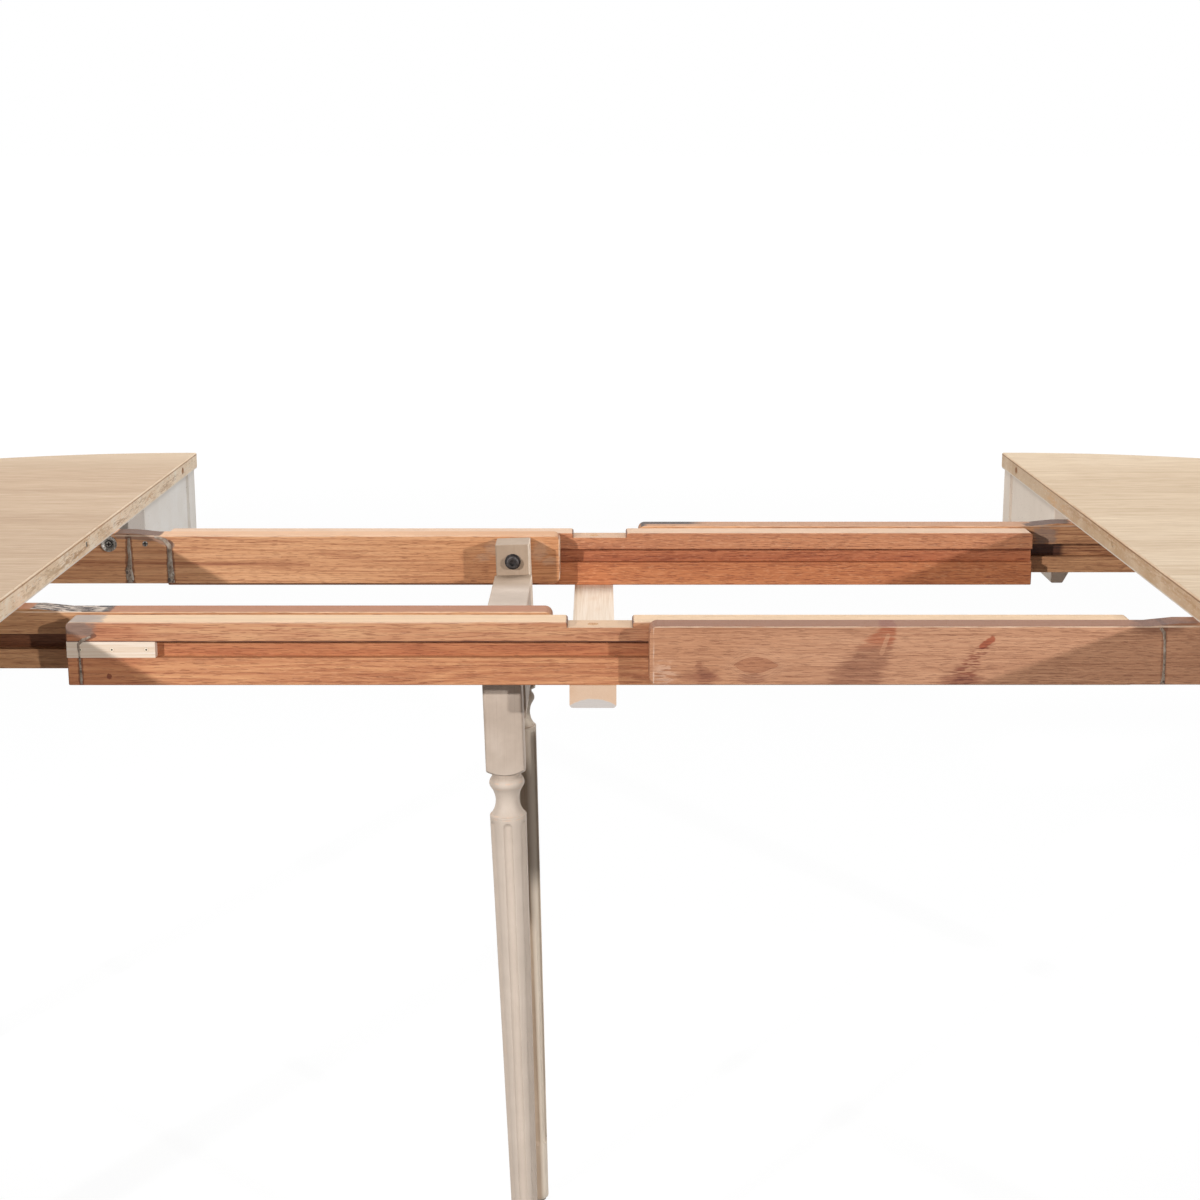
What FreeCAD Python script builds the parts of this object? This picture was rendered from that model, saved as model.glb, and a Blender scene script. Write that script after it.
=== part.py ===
import FreeCAD, Part
import math
import os

V = FreeCAD.Vector
X = V(1, 0, 0)
Y = V(0, 1, 0)
Z = V(0, 0, 1)
O = V(0, 0, 0)

# Extending round table, pulled fully open with its leaves taken out. Millimetres, +Z up.
# The origin is on the floor, midway between the two seams. +X runs along the extension, -Y to the near side.

# Whole table
table_height = 760.0
leaf_gap = 1000.0
overrun = 5.0
same_place = 0.001
full_turn = 360.0
hex_sides = 6

# Half tops
top_radius = 600.0
top_thick = 18.6
top_arris = 1.2
top_under_round = 4.0
pin_hole_radius = 4.0
pin_hole_depth = 22.0
pin_hole_inset = 86.0
plank_width = 150.0
tongue_y = 55.0
tongue_width = 9.0
tongue_height = 5.0
tongue_length = 30.0
tongue_sink = 1.0
tongue_fit = 0.15

# Aprons
apron_overhang = 20.0
apron_thick = 35.0
apron_height = 85.0
apron_arris = 2.0
tenon_thick = 11.0
tenon_height = 66.0
tenon_length = 20.0
glue_line = 0.2

# Boards under the straight edges of the tops
seam_board_thick = 20.0
seam_board_length_share = 0.376
seam_board_setback = 1.5
seam_board_gap = 7.0
seam_board_round = 2.0
seam_board_cut_in = 7.0
seam_board_cut_up = 13.0

# Glue blocks under the top
glue_block = 26.0
glue_block_length = 60.0
glue_block_angles = (-70.0, 0.0, 70.0)

# Slide rails
rail_height = 53.0
rail_thick = 25.0
rail_tail_gap = 47.5
rail_tip_round = 7.0
rail_relief = 2.5
rail_relief_back = 18.0
rail_relief_ramp = 24.0
rail_arris = 1.2
inner_rail_y = 161.5
slide_gap = 1.0
middle_length = 904.0
middle_height = 55.4
middle_thick = 28.0
middle_drop = 4.8
middle_tip_round = 4.5
notch_width = 55.0
notch_depth = 5.0
notch_round = 2.5
groove_flange = 17.2
groove_height = 14.0
groove_depth = 8.5
spline_fit = 0.2
spline_length = 240.0
spline_end_round = 3.0

# Stop blocks in the grooves
stop_length = 75.0
stop_play = 5.0
nail_radius = 0.9
nail_head_radius = 1.7
nail_head_thick = 0.8
nail_length = 14.0
nail_shares = (0.15, 0.51, 0.9)

# Crosspiece under the middle rails
crosspiece_width = 40.0
crosspiece_thick = 20.0
crosspiece_offset = -6.0
crosspiece_round = 3.0

# Wood screws
screw_fit = 0.1
screw_radius = 2.5
screw_head_radius = 4.5
screw_head_height = 3.5
screw_bite = 12.0
screw_sink = 14.0
rail_screw_inset = 45.0
rail_screw_count = 3
drive_width = 1.2
drive_depth = 1.4

# Screws in the inner faces of the inner rails
side_screw_back = 32.0
side_screw_z = 11.0
side_screw_radius = 2.8
side_screw_length = 14.0
side_screw_sink = 0.6
cup_seam_back = -5.0
cup_radius = 8.0
cup_lip_radius = 3.6
cup_height = 2.6
cup_wall = 0.9

# Main legs
leg_block = 65.0
leg_proud = 3.0
leg_block_show = 24.0
leg_angle = 45.0
leg_angles = (-leg_angle, leg_angle)
leg_turn_stretch_share = 1.75
leg_turn_swell_share = 1.9
corner_block_height = 48.0
corner_block_reach = 32.0
corner_block_half = 105.0
corner_block_drop = 14.0
corner_block_gap = 20.0
hanger_radius = 4.0
hanger_in_leg = 32.0
hanger_tail = 16.0
hanger_fit = 0.1
nut_across = 13.0
nut_thick = 6.5
washer_radius = 11.0
washer_thick = 1.6
glide_radius = 13.0
glide_thick = 5.0
glide_round = 2.0

# Centre legs, hung on pivot bolts between the inner rails
centre_block_x = 34.5
centre_block_y = 38.0
centre_block_top = 17.4
centre_block_bottom = 126.7
centre_arris = 2.0
pivot_drop = 22.0
pivot_back = 47.0
pivot_clear = 62.0
leg_side_gap = 0.4
leg_lean_degrees = 1.7
centre_rail_thick = 38.0
centre_rail_drop = 13.9
centre_rail_height = 80.1
centre_rail_arris = 1.5
centre_tenon_length = 22.0
centre_tenon_thick = 12.0
centre_tenon_height = 56.0
centre_dowel_radius = 4.0
pivot_radius = 4.0
pivot_run = 0.08
pivot_head_radius = 6.5
pivot_head_height = 6.0
pivot_socket_across = 6.0
pivot_socket_depth = 3.4
pivot_washer_radius = 8.0
pivot_washer_thick = 1.5
pivot_washer_play = 0.15
insert_radius = 6.2
insert_length = 14.0
insert_fit = 0.05
centre_glide_radius = 8.0
centre_glide_thick = 4.0

# Turning of a centre leg, heights measured down from the end of its square block
turn_tongue = 5.2
turn_groove = 9.2
turn_vase = 14.0
turn_vase_end = 18.4
turn_neck = 34.8
turn_flare = 45.6
turn_shoulder = 48.2
turn_groove_radius = 13.2
turn_vase_radius = 15.8
turn_vase_end_radius = 15.0
turn_neck_radius = 10.9
turn_flare_radius = 15.3
turn_shoulder_radius = 16.5
turn_foot_radius = 10.5
turn_roll_share = 0.75
flute_count = 6
flute_width = 7.4
flute_depth = 2.6
flute_start = 64.0
flute_end = 70.0

# Levels and planes that follow
under_top = table_height - top_thick
seam_x = leaf_gap / 2
apron_outer = top_radius - apron_overhang
apron_inner = apron_outer - apron_thick
apron_middle = (apron_outer + apron_inner) / 2
inner_rail_out = inner_rail_y + rail_thick
middle_y = inner_rail_out + slide_gap
middle_out = middle_y + middle_thick
outer_rail_y = middle_out + slide_gap
outer_rail_out = outer_rail_y + rail_thick
pin_hole_y = top_radius - pin_hole_inset
top_middle_z = table_height - top_thick / 2
middle_top = under_top - middle_drop
middle_bottom = middle_top - middle_height
groove_top = middle_top - groove_flange
groove_bottom = groove_top - groove_height
rail_tail = seam_x + math.sqrt(apron_inner**2 - outer_rail_out**2) - rail_tail_gap
spline_height = groove_height - 2 * spline_fit
spline_middle_z = (groove_top + groove_bottom) / 2
spline_outer_x = middle_length / 2 - stop_length - stop_play
spline_inner_x = spline_outer_x - spline_length
leg_radius = apron_outer + leg_proud - leg_block / 2
leg_inner_face = leg_radius - leg_block / 2
corner_block_inner = leg_inner_face - corner_block_reach
hanger_z = under_top - corner_block_drop - corner_block_height / 2
hanger_end = leg_inner_face + hanger_in_leg
hanger_start = corner_block_inner - hanger_tail
pivot_x = crosspiece_offset - crosspiece_width / 2 - pivot_clear
rail_tip = -pivot_x - pivot_back
pivot_z = under_top - pivot_drop
centre_rail_half = inner_rail_y - leg_side_gap - centre_block_y
centre_joint_z = pivot_z - centre_rail_drop - centre_rail_height / 2


def box(x0, x1, y0, y1, z0, z1):
    return Part.makeBox(x1 - x0, y1 - y0, z1 - z0, V(x0, y0, z0))


def rod(radius, start, end):
    run = end - start
    return Part.makeCylinder(radius, run.Length, start, run)


def fuse(shapes):
    return shapes[0].multiFuse(shapes[1:]).removeSplitter()


def cut(shape, tools):
    return shape.cut(Part.makeCompound(tools))


def flip_x(shape):
    return shape.mirror(O, X)


def flip_y(shape):
    return shape.mirror(O, Y)


def soften(shape, radius, wanted):
    edges = [e for e in shape.Edges if wanted(e)]
    return shape.makeFillet(radius, edges)


def on_plane(axis, value):
    def test(edge):
        return all(abs(p.Point.dot(axis) - value) < same_place for p in edge.Vertexes)
    return test


def outline(points, radii):
    """A closed wire in the XZ plane, each corner rounded by its own radius."""
    corners = [V(x, 0, z) for x, z in points]
    count = len(corners)
    starts, ends, middles = [], [], []
    for i, here in enumerate(corners):
        back = (corners[i - 1] - here).normalize()
        on = (corners[(i + 1) % count] - here).normalize()
        half = back.getAngle(on) / 2
        reach = radii[i] / math.tan(half)
        bisector = (back + on).normalize()
        starts.append(here + back * reach)
        ends.append(here + on * reach)
        middles.append(here + bisector * (radii[i] / math.sin(half) - radii[i]))
    edges = []
    for i in range(count):
        if radii[i] > 0:
            edges.append(Part.Arc(starts[i], middles[i], ends[i]).toShape())
        edges.append(Part.LineSegment(ends[i], starts[(i + 1) % count]).toShape())
    return Part.Wire(edges)


def board(points, radii, y0, y1, arris):
    """A board cut to a side outline, with its long edges eased."""
    face = Part.Face(outline(points, radii))
    face.translate(V(0, y0, 0))
    solid = face.extrude(V(0, y1 - y0, 0))
    sides = [on_plane(Y, y0), on_plane(Y, y1)]
    return soften(solid, arris, lambda e: sides[0](e) or sides[1](e))


def hexagon(across, middle, normal):
    """A hexagonal face of that width across its flats, square to normal."""
    corner = across / 2 / math.cos(math.pi / hex_sides)
    points = []
    for i in range(hex_sides + 1):
        turn = FreeCAD.Rotation(normal, full_turn / hex_sides * i)
        points.append(middle + turn.multVec(Z * corner))
    return Part.Face(Part.makePolygon(points))


def slotted_screw(head_at, point_at, radius, head_radius, head_height):
    """A round-headed screw whose head starts at head_at, with a single slot across it."""
    along = (point_at - head_at).normalize()
    seat = head_at + along * head_height
    head = rod(head_radius, head_at, seat)
    shank = rod(radius, seat, point_at)
    slot = Part.makeBox(2 * head_radius, drive_width, drive_depth, V(-head_radius, -drive_width / 2, 0))
    slot.Placement = FreeCAD.Placement(head_at, FreeCAD.Rotation(Z, along)).multiply(slot.Placement)
    return fuse([head, shank]).cut(slot)


def half_top():
    """The right half top, glued up from boards side by side, with its straight edge on the seam."""
    far_end = V(seam_x, top_radius, under_top)
    near_end = V(seam_x, -top_radius, under_top)
    bow = Part.Arc(near_end, V(seam_x + top_radius, 0, under_top), far_end).toShape()
    face = Part.Face(Part.Wire([bow, Part.LineSegment(far_end, near_end).toShape()]))
    half_disc = face.extrude(Z * top_thick)
    above = on_plane(Z, table_height)
    below = on_plane(Z, under_top)
    end_x = seam_x + top_radius + overrun
    count = math.ceil(top_radius / plank_width)
    boards = []
    for i in range(-count, count):
        strip = box(seam_x, end_x, i * plank_width, (i + 1) * plank_width, under_top, table_height)
        plank = half_disc.common(strip).Solids[0]
        upper = [e for e in plank.Edges if above(e) and e.BoundBox.YLength > same_place]
        plank = plank.makeChamfer(top_arris, upper)
        boards.append(soften(plank, top_under_round, lambda e: below(e) and not on_plane(X, seam_x)(e)
                             and e.BoundBox.YLength > same_place))
    return boards


def seam_holes():
    holes = [tongue(tongue_fit, overrun)]
    for y in (-pin_hole_y, pin_hole_y):
        mouth = V(seam_x - overrun, y, top_middle_z)
        holes.append(rod(pin_hole_radius, mouth, V(seam_x + pin_hole_depth, y, top_middle_z)))
    return holes


def tongue(fit, reach):
    half_w = tongue_width / 2 + fit
    half_h = tongue_height / 2 + fit
    start = seam_x + tongue_sink - reach
    end = seam_x + tongue_sink + tongue_length
    return box(start, end, tongue_y - half_w, tongue_y + half_w, top_middle_z - half_h, top_middle_z + half_h)


def turned_leg(swell, stretch, block_x, block_y, block_top, block_end, foot, arris):
    """A leg with a square block, a turned vase and a fluted, tapering round foot, standing on the Z axis."""
    groove_r = turn_groove_radius * swell
    shoulder_r = turn_shoulder_radius * swell
    tongue_z = block_end - turn_tongue * stretch
    groove_z = block_end - turn_groove * stretch
    shoulder_z = block_end - turn_shoulder * stretch
    foot_r = turn_foot_radius * swell
    block = box(-block_x / 2, block_x / 2, -block_y / 2, block_y / 2, tongue_z, block_top)
    block = soften(block, arris, lambda e: e.BoundBox.ZLength > block_x)
    reach = math.hypot(block_x, block_y) / 2 + arris
    bell = [V(0, 0, block_top), V(reach, 0, block_top), V(reach, 0, block_end + turn_tongue * stretch)]
    lip = V(groove_r, 0, tongue_z)
    bend = V((reach + block_x / 2) / 2, 0, block_end)
    edges = [Part.LineSegment(a, b).toShape() for a, b in zip(bell, bell[1:])]
    edges.append(Part.Arc(bell[-1], bend, lip).toShape())
    edges.append(Part.LineSegment(lip, V(0, 0, tongue_z)).toShape())
    edges.append(Part.LineSegment(V(0, 0, tongue_z), bell[0]).toShape())
    block = block.common(Part.Face(Part.Wire(edges)).revolve(O, Z, full_turn))

    def at(radius, drop):
        return V(radius * swell, 0, block_end - drop * stretch)

    groove = V(groove_r, 0, groove_z)
    vase_end = at(turn_vase_end_radius, turn_vase_end)
    flare = at(turn_flare_radius, turn_flare)
    shoulder = V(shoulder_r, 0, shoulder_z)
    roll = shoulder - flare
    round_mid = flare + V(roll.x * turn_roll_share, 0, roll.z * (1 - turn_roll_share))
    toe = V(foot_r, 0, foot)
    profile = [
        Part.LineSegment(V(0, 0, tongue_z), lip).toShape(),
        Part.LineSegment(lip, groove).toShape(),
        Part.Arc(groove, at(turn_vase_radius, turn_vase), vase_end).toShape(),
        Part.Arc(vase_end, at(turn_neck_radius, turn_neck), flare).toShape(),
        Part.Arc(flare, round_mid, shoulder).toShape(),
        Part.LineSegment(shoulder, toe).toShape(),
        Part.LineSegment(toe, V(0, 0, foot)).toShape(),
        Part.LineSegment(V(0, 0, foot), V(0, 0, tongue_z)).toShape(),
    ]
    turned = Part.Face(Part.Wire(profile)).revolve(O, Z, full_turn)
    cutters = []
    cutter_r = swell * (flute_width * flute_width / 4 + flute_depth * flute_depth) / (2 * flute_depth)
    taper = (shoulder_r - foot_r) / (shoulder_z - foot)
    start_z = block_end - flute_start * stretch
    end_z = foot + flute_end * swell
    for turn in range(flute_count):
        start = V(shoulder_r - (shoulder_z - start_z) * taper + cutter_r - flute_depth * swell, 0, start_z)
        end = V(shoulder_r - (shoulder_z - end_z) * taper + cutter_r - flute_depth * swell, 0, end_z)
        ball = Part.makeSphere(cutter_r, start)
        tail = Part.makeSphere(cutter_r, end)
        flute = fuse([rod(cutter_r, start, end), ball, tail])
        flute.rotate(O, Z, full_turn * turn / flute_count + full_turn / 4)
        cutters.append(flute)
    return fuse([block, cut(turned, cutters)])


def corner_at(shape, angle):
    """Carries a piece drawn on the right half's +X axis round to its corner."""
    placed = shape.copy()
    placed.rotate(O, Z, angle)
    placed.translate(V(seam_x, 0, 0))
    return placed


def tenon(side, extra):
    half = tenon_thick / 2
    middle_z = under_top - apron_height / 2
    inner = leg_block / 2 - tenon_length
    y0, y1 = sorted((side * inner, side * (leg_block / 2 + extra)))
    z0 = middle_z - tenon_height / 2
    return box(apron_middle - half, apron_middle + half, y0, y1, z0, z0 + tenon_height)


def aprons():
    """The three curved aprons of the right half, from the near seam round to the far seam."""
    low = under_top - apron_height
    ring = Part.makeCylinder(apron_outer, apron_height, V(0, 0, low))
    ring = ring.cut(Part.makeCylinder(apron_inner, apron_height, V(0, 0, low)))
    band = ring.common(box(0, apron_outer + overrun, -apron_outer, apron_outer, low, under_top))
    band = soften(band, apron_arris, lambda e: on_plane(Z, low)(e) and e.BoundBox.XLength > apron_thick)
    slab = box(0, apron_outer + overrun, -leg_block / 2, leg_block / 2, low - overrun, under_top + overrun)
    slabs = []
    for angle in leg_angles:
        turned = slab.copy()
        turned.rotate(O, Z, angle)
        slabs.append(turned)
    parts = sorted(cut(band, slabs).Solids, key=lambda s: s.CenterOfMass.y)
    joined = []
    for part, ends in zip(parts, ((None, -leg_angle), (-leg_angle, leg_angle), (leg_angle, None))):
        pieces = [part]
        for angle, side in zip(ends, (1, -1)):
            if angle is not None:
                end = tenon(side, apron_arris)
                end.rotate(O, Z, angle)
                pieces.append(end)
        shape = fuse(pieces)
        shape.translate(V(seam_x, 0, 0))
        joined.append(shape)
    return joined


def seam_board():
    """The far board under the right top's straight edge, its back lower edge cut away."""
    front = seam_x + seam_board_setback
    back = front + seam_board_thick
    low = under_top - apron_height
    points = [
        (front, low),
        (back - seam_board_cut_in, low),
        (back, low + seam_board_cut_up),
        (back, under_top),
        (front, under_top),
    ]
    radii = [seam_board_round] * 3 + [0, 0]
    end = math.sqrt(apron_inner**2 - (back - seam_x)**2) - seam_board_gap
    return board(points, radii, end - top_radius * seam_board_length_share, end, rail_arris)


def main_leg():
    swell = leg_turn_swell_share
    stretch = leg_turn_stretch_share
    block_end = under_top - apron_height - leg_block_show
    leg = turned_leg(swell, stretch, leg_block, leg_block, under_top, block_end, glide_thick, centre_arris)
    leg.translate(V(leg_radius, 0, 0))
    return cut(leg, [tenon(-1, overrun), tenon(1, overrun), hanger_bolt(hanger_fit)])


def corner_blocks():
    """A block glued across each corner behind its leg, clear of the slides."""
    high = under_top - corner_block_drop
    low = high - corner_block_height
    block = box(corner_block_inner, apron_inner, -corner_block_half, corner_block_half, low, high)
    inside = Part.makeCylinder(apron_inner - glue_line, table_height)
    side = leg_block / 2 + glue_line
    socket = box(leg_inner_face - glue_line, apron_inner, -side, side, low - overrun, high + overrun)
    block = block.common(inside).cut(socket).cut(hanger_bolt(hanger_fit))
    clear_y = outer_rail_out + corner_block_gap
    slide_bay = box(seam_x, seam_x + top_radius, -clear_y, clear_y, low - overrun, high + overrun)
    return Part.makeCompound([corner_at(block, angle).cut(slide_bay).Solids[0] for angle in leg_angles])


def hanger_bolt(fit):
    return rod(hanger_radius + fit, V(hanger_start, 0, hanger_z), V(hanger_end, 0, hanger_z))


def hanger_nut():
    washer_face = corner_block_inner - washer_thick
    washer = rod(washer_radius, V(washer_face, 0, hanger_z), V(corner_block_inner, 0, hanger_z))
    nut = hexagon(nut_across, V(washer_face - nut_thick, 0, hanger_z), X).extrude(X * nut_thick)
    hole = hanger_bolt(hanger_fit)
    return Part.makeCompound([washer.cut(hole), nut.cut(hole)])


def glide(radius, thick):
    disc = Part.makeCylinder(radius, thick)
    return soften(disc, glide_round, on_plane(Z, 0))


def glue_blocks():
    """Three-cornered blocks glued in the angle between a top and its aprons."""
    reach = apron_inner - glue_line
    half = glue_block_length / 2
    inner = V(reach - glue_block, -half, under_top)
    outer = V(reach + glue_block, -half, under_top)
    below = V(reach + glue_block, -half, under_top - 2 * glue_block)
    prism = Part.Face(Part.makePolygon([inner, outer, below, inner])).extrude(Y * glue_block_length)
    prism = prism.common(Part.makeCylinder(reach, table_height))
    return Part.makeCompound([corner_at(prism, angle) for angle in glue_block_angles])


def half_rail(y0, groove_side):
    """A rail under the right half, drawn on the far side, planed lower where it runs under the other top."""
    low = under_top - rail_height
    planed = under_top - rail_relief
    ramp_x = seam_x - rail_relief_back
    points = [
        (rail_tip, low),
        (rail_tail, low),
        (rail_tail, under_top),
        (ramp_x, under_top),
        (ramp_x - rail_relief_ramp, planed),
        (rail_tip, planed),
    ]
    radii = [rail_tip_round, rail_tip_round, rail_tip_round, 0, 0, rail_tip_round]
    rail = board(points, radii, y0, y0 + rail_thick, rail_arris)
    z0 = spline_middle_z - spline_height / 2
    if groove_side > 0:
        groove_y = (y0 + rail_thick - groove_depth, y0 + rail_thick + overrun)
    else:
        groove_y = (y0 - overrun, y0 + groove_depth)
    return rail.cut(box(rail_tip - overrun, rail_tail + overrun, *groove_y, z0, z0 + spline_height))


def web_y(y0, groove_side):
    web = rail_thick - groove_depth
    return y0 + web / 2 if groove_side > 0 else y0 + groove_depth + web / 2


def rail_screw_places(y0, groove_side):
    first = seam_x + rail_screw_inset
    last = rail_tail - rail_screw_inset
    step = (last - first) / (rail_screw_count - 1)
    return [V(first + step * i, web_y(y0, groove_side), 0) for i in range(rail_screw_count)]


def rail_screw(place):
    head = place + Z * (under_top - rail_height + screw_sink)
    point = place + Z * (under_top + screw_bite)
    return slotted_screw(head, point, screw_radius, screw_head_radius, screw_head_height)


def rail_screw_hole(place):
    seat = place + Z * (under_top - rail_height + screw_sink + screw_head_height)
    bore = rod(screw_head_radius + screw_fit, place + Z * (under_top - rail_height - overrun), seat)
    pilot = rod(screw_radius + screw_fit, seat, place + Z * (under_top + screw_bite))
    return fuse([bore, pilot])


def spline(inner_face):
    """A loose tongue glued in a half rail's groove, running in the middle rail's groove beyond inner_face."""
    y0 = inner_face - groove_depth
    y1 = inner_face + slide_gap + groove_depth - spline_fit
    z0 = spline_middle_z - spline_height / 2
    z1 = z0 + spline_height
    points = [(spline_inner_x, z0), (spline_outer_x, z0), (spline_outer_x, z1), (spline_inner_x, z1)]
    face = Part.Face(outline(points, [spline_end_round] * len(points)))
    face.translate(V(0, y0, 0))
    return face.extrude(V(0, y1 - y0, 0))


def middle_rail():
    """The far middle rail, grooved on both faces, with the shallow notch in its top edge."""
    half = middle_length / 2
    notch = notch_width / 2
    low, high = middle_bottom, middle_top
    floor = high - notch_depth
    right = [(half, low), (half, high), (notch, high), (notch, floor)]
    right_radii = [rail_arris, middle_tip_round, notch_round, 0]
    left = [(-x, z) for x, z in reversed(right)]
    face = Part.Face(outline(right + left, right_radii + right_radii[::-1]))
    face.translate(V(0, middle_y, 0))
    rail = face.extrude(V(0, middle_thick, 0))

    def long_and_level(edge):
        return edge.BoundBox.XLength > middle_length / 4 and edge.BoundBox.ZLength < rail_arris

    rail = soften(rail, rail_arris, long_and_level)
    end = half + overrun
    near = box(-end, end, middle_y - overrun, middle_y + groove_depth, groove_bottom, groove_top)
    far = box(-end, end, middle_out - groove_depth, middle_out + overrun, groove_bottom, groove_top)
    return cut(rail, [near, far, crosspiece_screw_hole()])


def stop_spans():
    """Where the stop blocks lie: the middle rail's face, the direction into its groove, and the end."""
    return ((middle_y, 1, -1), (middle_out, -1, 1), (middle_out, -1, -1))


def stop_block(face_y, inward, end):
    y0, y1 = sorted((face_y + inward * groove_depth, face_y))
    x0, x1 = sorted((end * middle_length / 2, end * (middle_length / 2 - stop_length)))
    return box(x0, x1, y0, y1, groove_bottom, groove_top)


def stop_nails(face_y, inward, end, extra):
    nails = []
    for share in nail_shares:
        x = end * (middle_length / 2 - stop_length * share)
        face = V(x, face_y, spline_middle_z)
        seat = face + Y * inward * nail_head_thick
        head = rod(nail_head_radius + extra, face, seat)
        shank = rod(nail_radius + extra, seat, face + Y * inward * nail_length)
        nails.append(fuse([head, shank]))
    return nails


def crosspiece():
    left = crosspiece_offset - crosspiece_width / 2
    right = crosspiece_offset + crosspiece_width / 2
    high = middle_bottom
    low = high - crosspiece_thick
    points = [(left, low), (right, low), (right, high), (left, high)]
    radii = [crosspiece_round, crosspiece_round, 0, 0]
    face = Part.Face(outline(points, radii))
    face.translate(V(0, -middle_out, 0))
    piece = face.extrude(V(0, 2 * middle_out, 0))
    hole = crosspiece_screw_hole()
    return cut(piece, [hole, flip_y(hole)])


def crosspiece_screw_place():
    return V(crosspiece_offset, (middle_y + middle_out) / 2, 0)


def crosspiece_screw():
    head = crosspiece_screw_place() + Z * (middle_top - notch_depth)
    point = crosspiece_screw_place() + Z * (middle_bottom - screw_bite)
    return slotted_screw(head, point, screw_radius, screw_head_radius, screw_head_height)


def crosspiece_screw_hole():
    place = crosspiece_screw_place()
    seat = place + Z * (middle_top - notch_depth - screw_head_height)
    bore = rod(screw_head_radius + screw_fit, seat, place + Z * (middle_top + overrun))
    pilot = rod(screw_radius + screw_fit, place + Z * (middle_bottom - screw_bite), seat)
    return fuse([bore, pilot])


def lean(shape):
    """Hangs a piece of the centre leg frame out of plumb, as it stands on its loose pivots."""
    leaned = shape.copy()
    leaned.rotate(V(pivot_x, 0, pivot_z), Y, -leg_lean_degrees)
    return leaned


def centre_tenon(extra):
    """The tenon at the far end of the centre leg rail."""
    y0 = centre_rail_half - extra
    y1 = centre_rail_half + centre_tenon_length
    half_x = centre_tenon_thick / 2
    half_z = centre_tenon_height / 2
    return box(pivot_x - half_x, pivot_x + half_x, y0, y1, centre_joint_z - half_z, centre_joint_z + half_z)


def centre_dowel(extra):
    """A wooden peg through the far centre leg and the tenon inside it."""
    y = centre_rail_half + centre_tenon_length / 2
    half = centre_block_x / 2 + extra
    return rod(centre_dowel_radius, V(pivot_x - half, y, centre_joint_z), V(pivot_x + half, y, centre_joint_z))


def centre_leg():
    """The far centre leg, upright."""
    top = pivot_z + centre_block_top
    end = pivot_z - centre_block_bottom
    leg = turned_leg(1, 1, centre_block_x, centre_block_y, top, end, centre_glide_thick, centre_arris)
    leg_y = inner_rail_y - leg_side_gap - centre_block_y / 2
    leg.translate(V(pivot_x, leg_y, 0))
    return cut(leg, [centre_tenon(overrun), centre_dowel(overrun), pivot_rod(pivot_run)])


def centre_rail():
    """The rail that joins the two centre legs, with a tenon at each end."""
    high = pivot_z - centre_rail_drop
    low = high - centre_rail_height
    half = centre_rail_thick / 2
    rail = box(pivot_x - half, pivot_x + half, -centre_rail_half, centre_rail_half, low, high)
    rail = soften(rail, centre_rail_arris, lambda e: e.BoundBox.YLength > centre_rail_thick)
    end = centre_tenon(overrun)
    peg = centre_dowel(overrun)
    return cut(fuse([rail, end, flip_y(end)]), [peg, flip_y(peg)])


def pivot_rod(fit):
    """The line of the far pivot bolt, from the middle of the table through the inner rail."""
    return rod(pivot_radius + fit, V(pivot_x, 0, pivot_z), V(pivot_x, inner_rail_out, pivot_z))


def pivot_washer():
    face = centre_rail_half - pivot_washer_play
    washer = rod(pivot_washer_radius, V(pivot_x, face - pivot_washer_thick, pivot_z), V(pivot_x, face, pivot_z))
    return washer.cut(pivot_rod(pivot_run))


def pivot_bolt():
    """A socket-headed bolt through the far centre leg into the inner rail."""
    seat = centre_rail_half - pivot_washer_play - pivot_washer_thick
    head = rod(pivot_head_radius, V(pivot_x, seat - pivot_head_height, pivot_z), V(pivot_x, seat, pivot_z))
    head = soften(head, centre_rail_arris, on_plane(Y, seat - pivot_head_height))
    shank = rod(pivot_radius, V(pivot_x, seat, pivot_z), V(pivot_x, inner_rail_y + insert_length, pivot_z))
    socket = hexagon(pivot_socket_across, V(pivot_x, seat - pivot_head_height, pivot_z), Y)
    return fuse([head, shank]).cut(socket.extrude(Y * pivot_socket_depth))


def threaded_insert(extra):
    start = V(pivot_x, inner_rail_y, pivot_z)
    return rod(insert_radius + extra, start, start + Y * insert_length)


def side_screw():
    """The small round-headed screw in the inner face of the left inner rail, just clear of the seam."""
    x = -seam_x + side_screw_back
    head = V(x, inner_rail_y - side_screw_sink, under_top - side_screw_z)
    seat = head + Y * (side_screw_sink + screw_head_height / 2)
    return slotted_screw(head, seat + Y * side_screw_length, screw_radius, side_screw_radius, seat.y - head.y)


def cup_fastener():
    """The cupped washer and its screw under the seam of the left top."""
    x = -seam_x + cup_seam_back
    z = under_top - side_screw_z
    face = V(x, inner_rail_y, z)
    back = rod(cup_radius, face - Y * cup_wall, face)
    rim = rod(cup_radius, face - Y * cup_height, face - Y * cup_wall)
    dish = Part.makeCone(cup_radius - cup_wall, cup_lip_radius, cup_height - cup_wall, face - Y * cup_height, Y)
    hole = rod(screw_radius + screw_fit, face - Y * cup_height, face)
    washer = fuse([back, rim]).cut(dish).cut(hole)
    head = screw_head_height / 2
    point = face + Y * side_screw_length
    screw = slotted_screw(face - Y * (cup_wall + head), point, screw_radius, cup_lip_radius, head)
    return washer, screw


def side_holes():
    z = under_top - side_screw_z
    screw_at = V(-seam_x + side_screw_back, inner_rail_y, z)
    cup_at = V(-seam_x + cup_seam_back, inner_rail_y, z)
    seat = Y * (screw_head_height / 2)
    head = rod(side_screw_radius + screw_fit, screw_at - Y * overrun, screw_at + seat)
    shank = rod(screw_radius + screw_fit, screw_at, screw_at + seat + Y * side_screw_length)
    cup = rod(screw_radius + screw_fit, cup_at - Y * overrun, cup_at + Y * side_screw_length)
    return [head, shank, cup]


nodes = {}


def both_sides(shape):
    return [shape, flip_y(shape)]


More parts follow.
